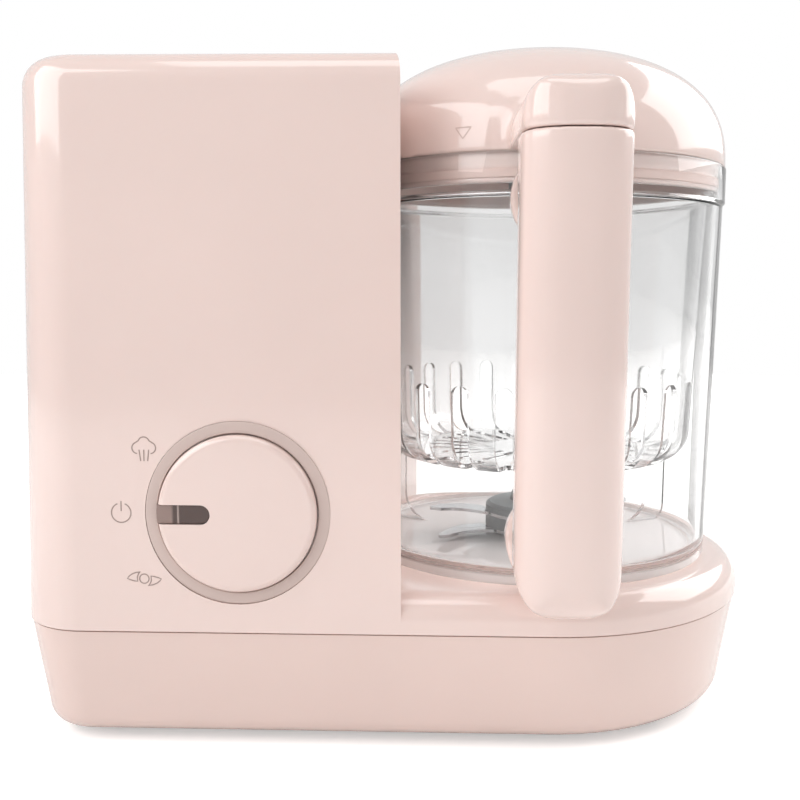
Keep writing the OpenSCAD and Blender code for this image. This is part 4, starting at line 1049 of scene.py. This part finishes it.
class BuildStage(bpy.types.Operator):
    """Floor, lamps, surroundings and camera"""
    bl_idname = "food_maker.stage"
    bl_label = "Stage"

    def execute(self, context):
        self.floor()
        self.lamps()
        self.flag()
        self.surroundings()
        self.camera()
        return {"FINISHED"}

    def floor(self):
        bm = bmesh.new()
        bmesh.ops.create_circle(bm, cap_ends=True, segments=96, radius=1.6)
        floor = object_from("floor", bm)
        floor.location.z = -0.0002
        material, tree, point = new_material("white studio floor")
        by_eye, kinds = seen(tree)
        plain = add(tree, "ShaderNodeBsdfDiffuse", {"Color": linear("#F4F3F2")})
        # The floor fades into the white surroundings away from the object
        away = add(tree, "ShaderNodeVectorMath", {0: point}, operation="LENGTH")
        lift = add(tree, "ShaderNodeMapRange", {
            "Value": away.outputs["Value"], "From Min": 0.2, "From Max": 0.7, "To Min": 0.42, "To Max": 1.0})
        # Through the clear bowl it is seen dimmer
        share = sum_of(tree, "ADD", sum_of(tree, "MULTIPLY", kinds["Is Transmission Ray"], -0.55), 1.0)
        glow = white(tree, "ShaderNodeEmission", sum_of(tree, "MULTIPLY", lift.outputs[0], share))
        both = add(tree, "ShaderNodeAddShader", {0: plain.outputs[0], 1: glow})
        put_out(tree, add(tree, "ShaderNodeMixShader", {"Fac": by_eye, 1: plain.outputs[0], 2: both.outputs[0]}))
        floor.data.materials.append(material)

    def lamps(self):
        """Softboxes: azimuth and elevation in degrees as seen from the object, distance, size, power."""
        middle = Vector((0, 0, 0.12))
        for name, azimuth, elevation, distance, width, height, power in (
                ("left softbox", -60, 32, 1.3, 1.2, 0.9, 9.5),
                ("right softbox", 112, 32, 1.3, 1.4, 0.9, 12.5),
                ("top softbox", 5, 74, 1.4, 0.9, 0.6, 3.5)):
            a, e = math.radians(azimuth), math.radians(elevation)
            away = Vector((math.sin(a) * math.cos(e), -math.cos(a) * math.cos(e), math.sin(e)))
            light = bpy.data.lights.new(name, "AREA")
            light.shape = "RECTANGLE"
            light.size = width
            light.size_y = height
            light.energy = power
            lamp = placed(name, light)
            lamp.location = middle + away * distance
            lamp.rotation_euler = away.to_track_quat("Z", "Y").to_euler()
            lamp.visible_camera = False

    def flag(self):
        """Narrow grey card behind the bowl's right side, seen through the clear wall only: it draws its edge."""
        away, turn, half_width, height = 196, math.radians(48.3), 0.0205, 0.33
        centre = Vector(((AXIS_X + away * math.sin(turn)) * MM, (AXIS_Y + away * math.cos(turn)) * MM, 0))
        across = Vector((math.cos(turn), -math.sin(turn), 0)) * half_width
        bm = bmesh.new()
        bm.faces.new([bm.verts.new(centre + across * s + Vector((0, 0, z))) for s, z in
                      ((-1, 0), (1, 0), (1, height), (-1, height))])
        card = object_from("grey flag", bm)
        material, tree, _ = new_material("grey felt")
        put_out(tree, add(tree, "ShaderNodeEmission", {"Color": linear("#8A8A8A"), "Strength": 0.5}))
        card.data.materials.append(material)
        for kind in ("camera", "diffuse", "glossy", "shadow"):
            setattr(card, "visible_" + kind, False)

    def surroundings(self):
        world = bpy.data.worlds.new("studio")
        world.use_nodes = True
        tree = world.node_tree
        tree.nodes.clear()
        by_eye, kinds = seen(tree)
        # The backdrop stands behind the object, so reflections of it brighten the grazing edges
        side = add(tree, "ShaderNodeTexCoord").outputs["Generated"]
        behind = add(tree, "ShaderNodeMapRange", {
            "Value": add(tree, "ShaderNodeSeparateXYZ", {0: side}).outputs["Y"],
            "From Min": 0.2, "From Max": 0.8, "To Min": 0.3, "To Max": 0.72})
        lit = add(tree, "ShaderNodeMixShader", {
            "Fac": kinds["Is Glossy Ray"], 1: white(tree, "ShaderNodeBackground", 0.53),
            2: white(tree, "ShaderNodeBackground", behind.outputs[0])})
        mixed = add(tree, "ShaderNodeMixShader", {
            "Fac": by_eye, 1: lit.outputs[0], 2: white(tree, "ShaderNodeBackground", 1.0)})
        add(tree, "ShaderNodeOutputWorld", {"Surface": mixed.outputs[0]})
        bpy.context.scene.world = world

    def camera(self):
        data = bpy.data.cameras.new("camera")
        data.sensor_width = 36
        data.lens = 43.2
        data.clip_start = 0.01
        eye = placed("camera", data)
        eye.location = ((AXIS_X - 42.9) * MM, (AXIS_Y - 395.4) * MM, 0.1585)
        eye.rotation_euler = (math.radians(90 - 6.47), -0.003, 0.03)
        bpy.context.scene.camera = eye
        bpy.context.scene.view_settings.view_transform = "Standard"


class FoodMakerPanel(bpy.types.Panel):
    """Lists the settings and the steps"""
    bl_idname = "VIEW3D_PT_food_maker"
    bl_label = "Food maker"
    bl_space_type = "VIEW_3D"
    bl_region_type = "UI"
    bl_category = "Food Maker"

    def draw(self, context):
        for group in (colours(), sizes()):
            for name in group.bl_rna.properties.keys():
                if name not in {"rna_type", "name"}:
                    self.layout.prop(group, name)
        for step in STEPS:
            self.layout.operator(step.bl_idname)


STEPS = (BuildShell, BuildDial, BuildBowl, BuildHandle, BuildLid, BuildMarks, BuildBasket, DressInside, BuildStage)
CLASSES = (FoodMakerColours, FoodMakerSizes) + STEPS + (FoodMakerPanel,)


def register():
    for kind in CLASSES:
        bpy.utils.register_class(kind)
    bpy.types.Scene.food_maker_colours = bpy.props.PointerProperty(type=FoodMakerColours)
    bpy.types.Scene.food_maker_sizes = bpy.props.PointerProperty(type=FoodMakerSizes)


def unregister():
    del bpy.types.Scene.food_maker_sizes
    del bpy.types.Scene.food_maker_colours
    for kind in reversed(CLASSES):
        bpy.utils.unregister_class(kind)


def main():
    register()
    for step in STEPS:
        group, name = step.bl_idname.split(".")
        getattr(getattr(bpy.ops, group), name)()


if __name__ == "__main__":
    main()
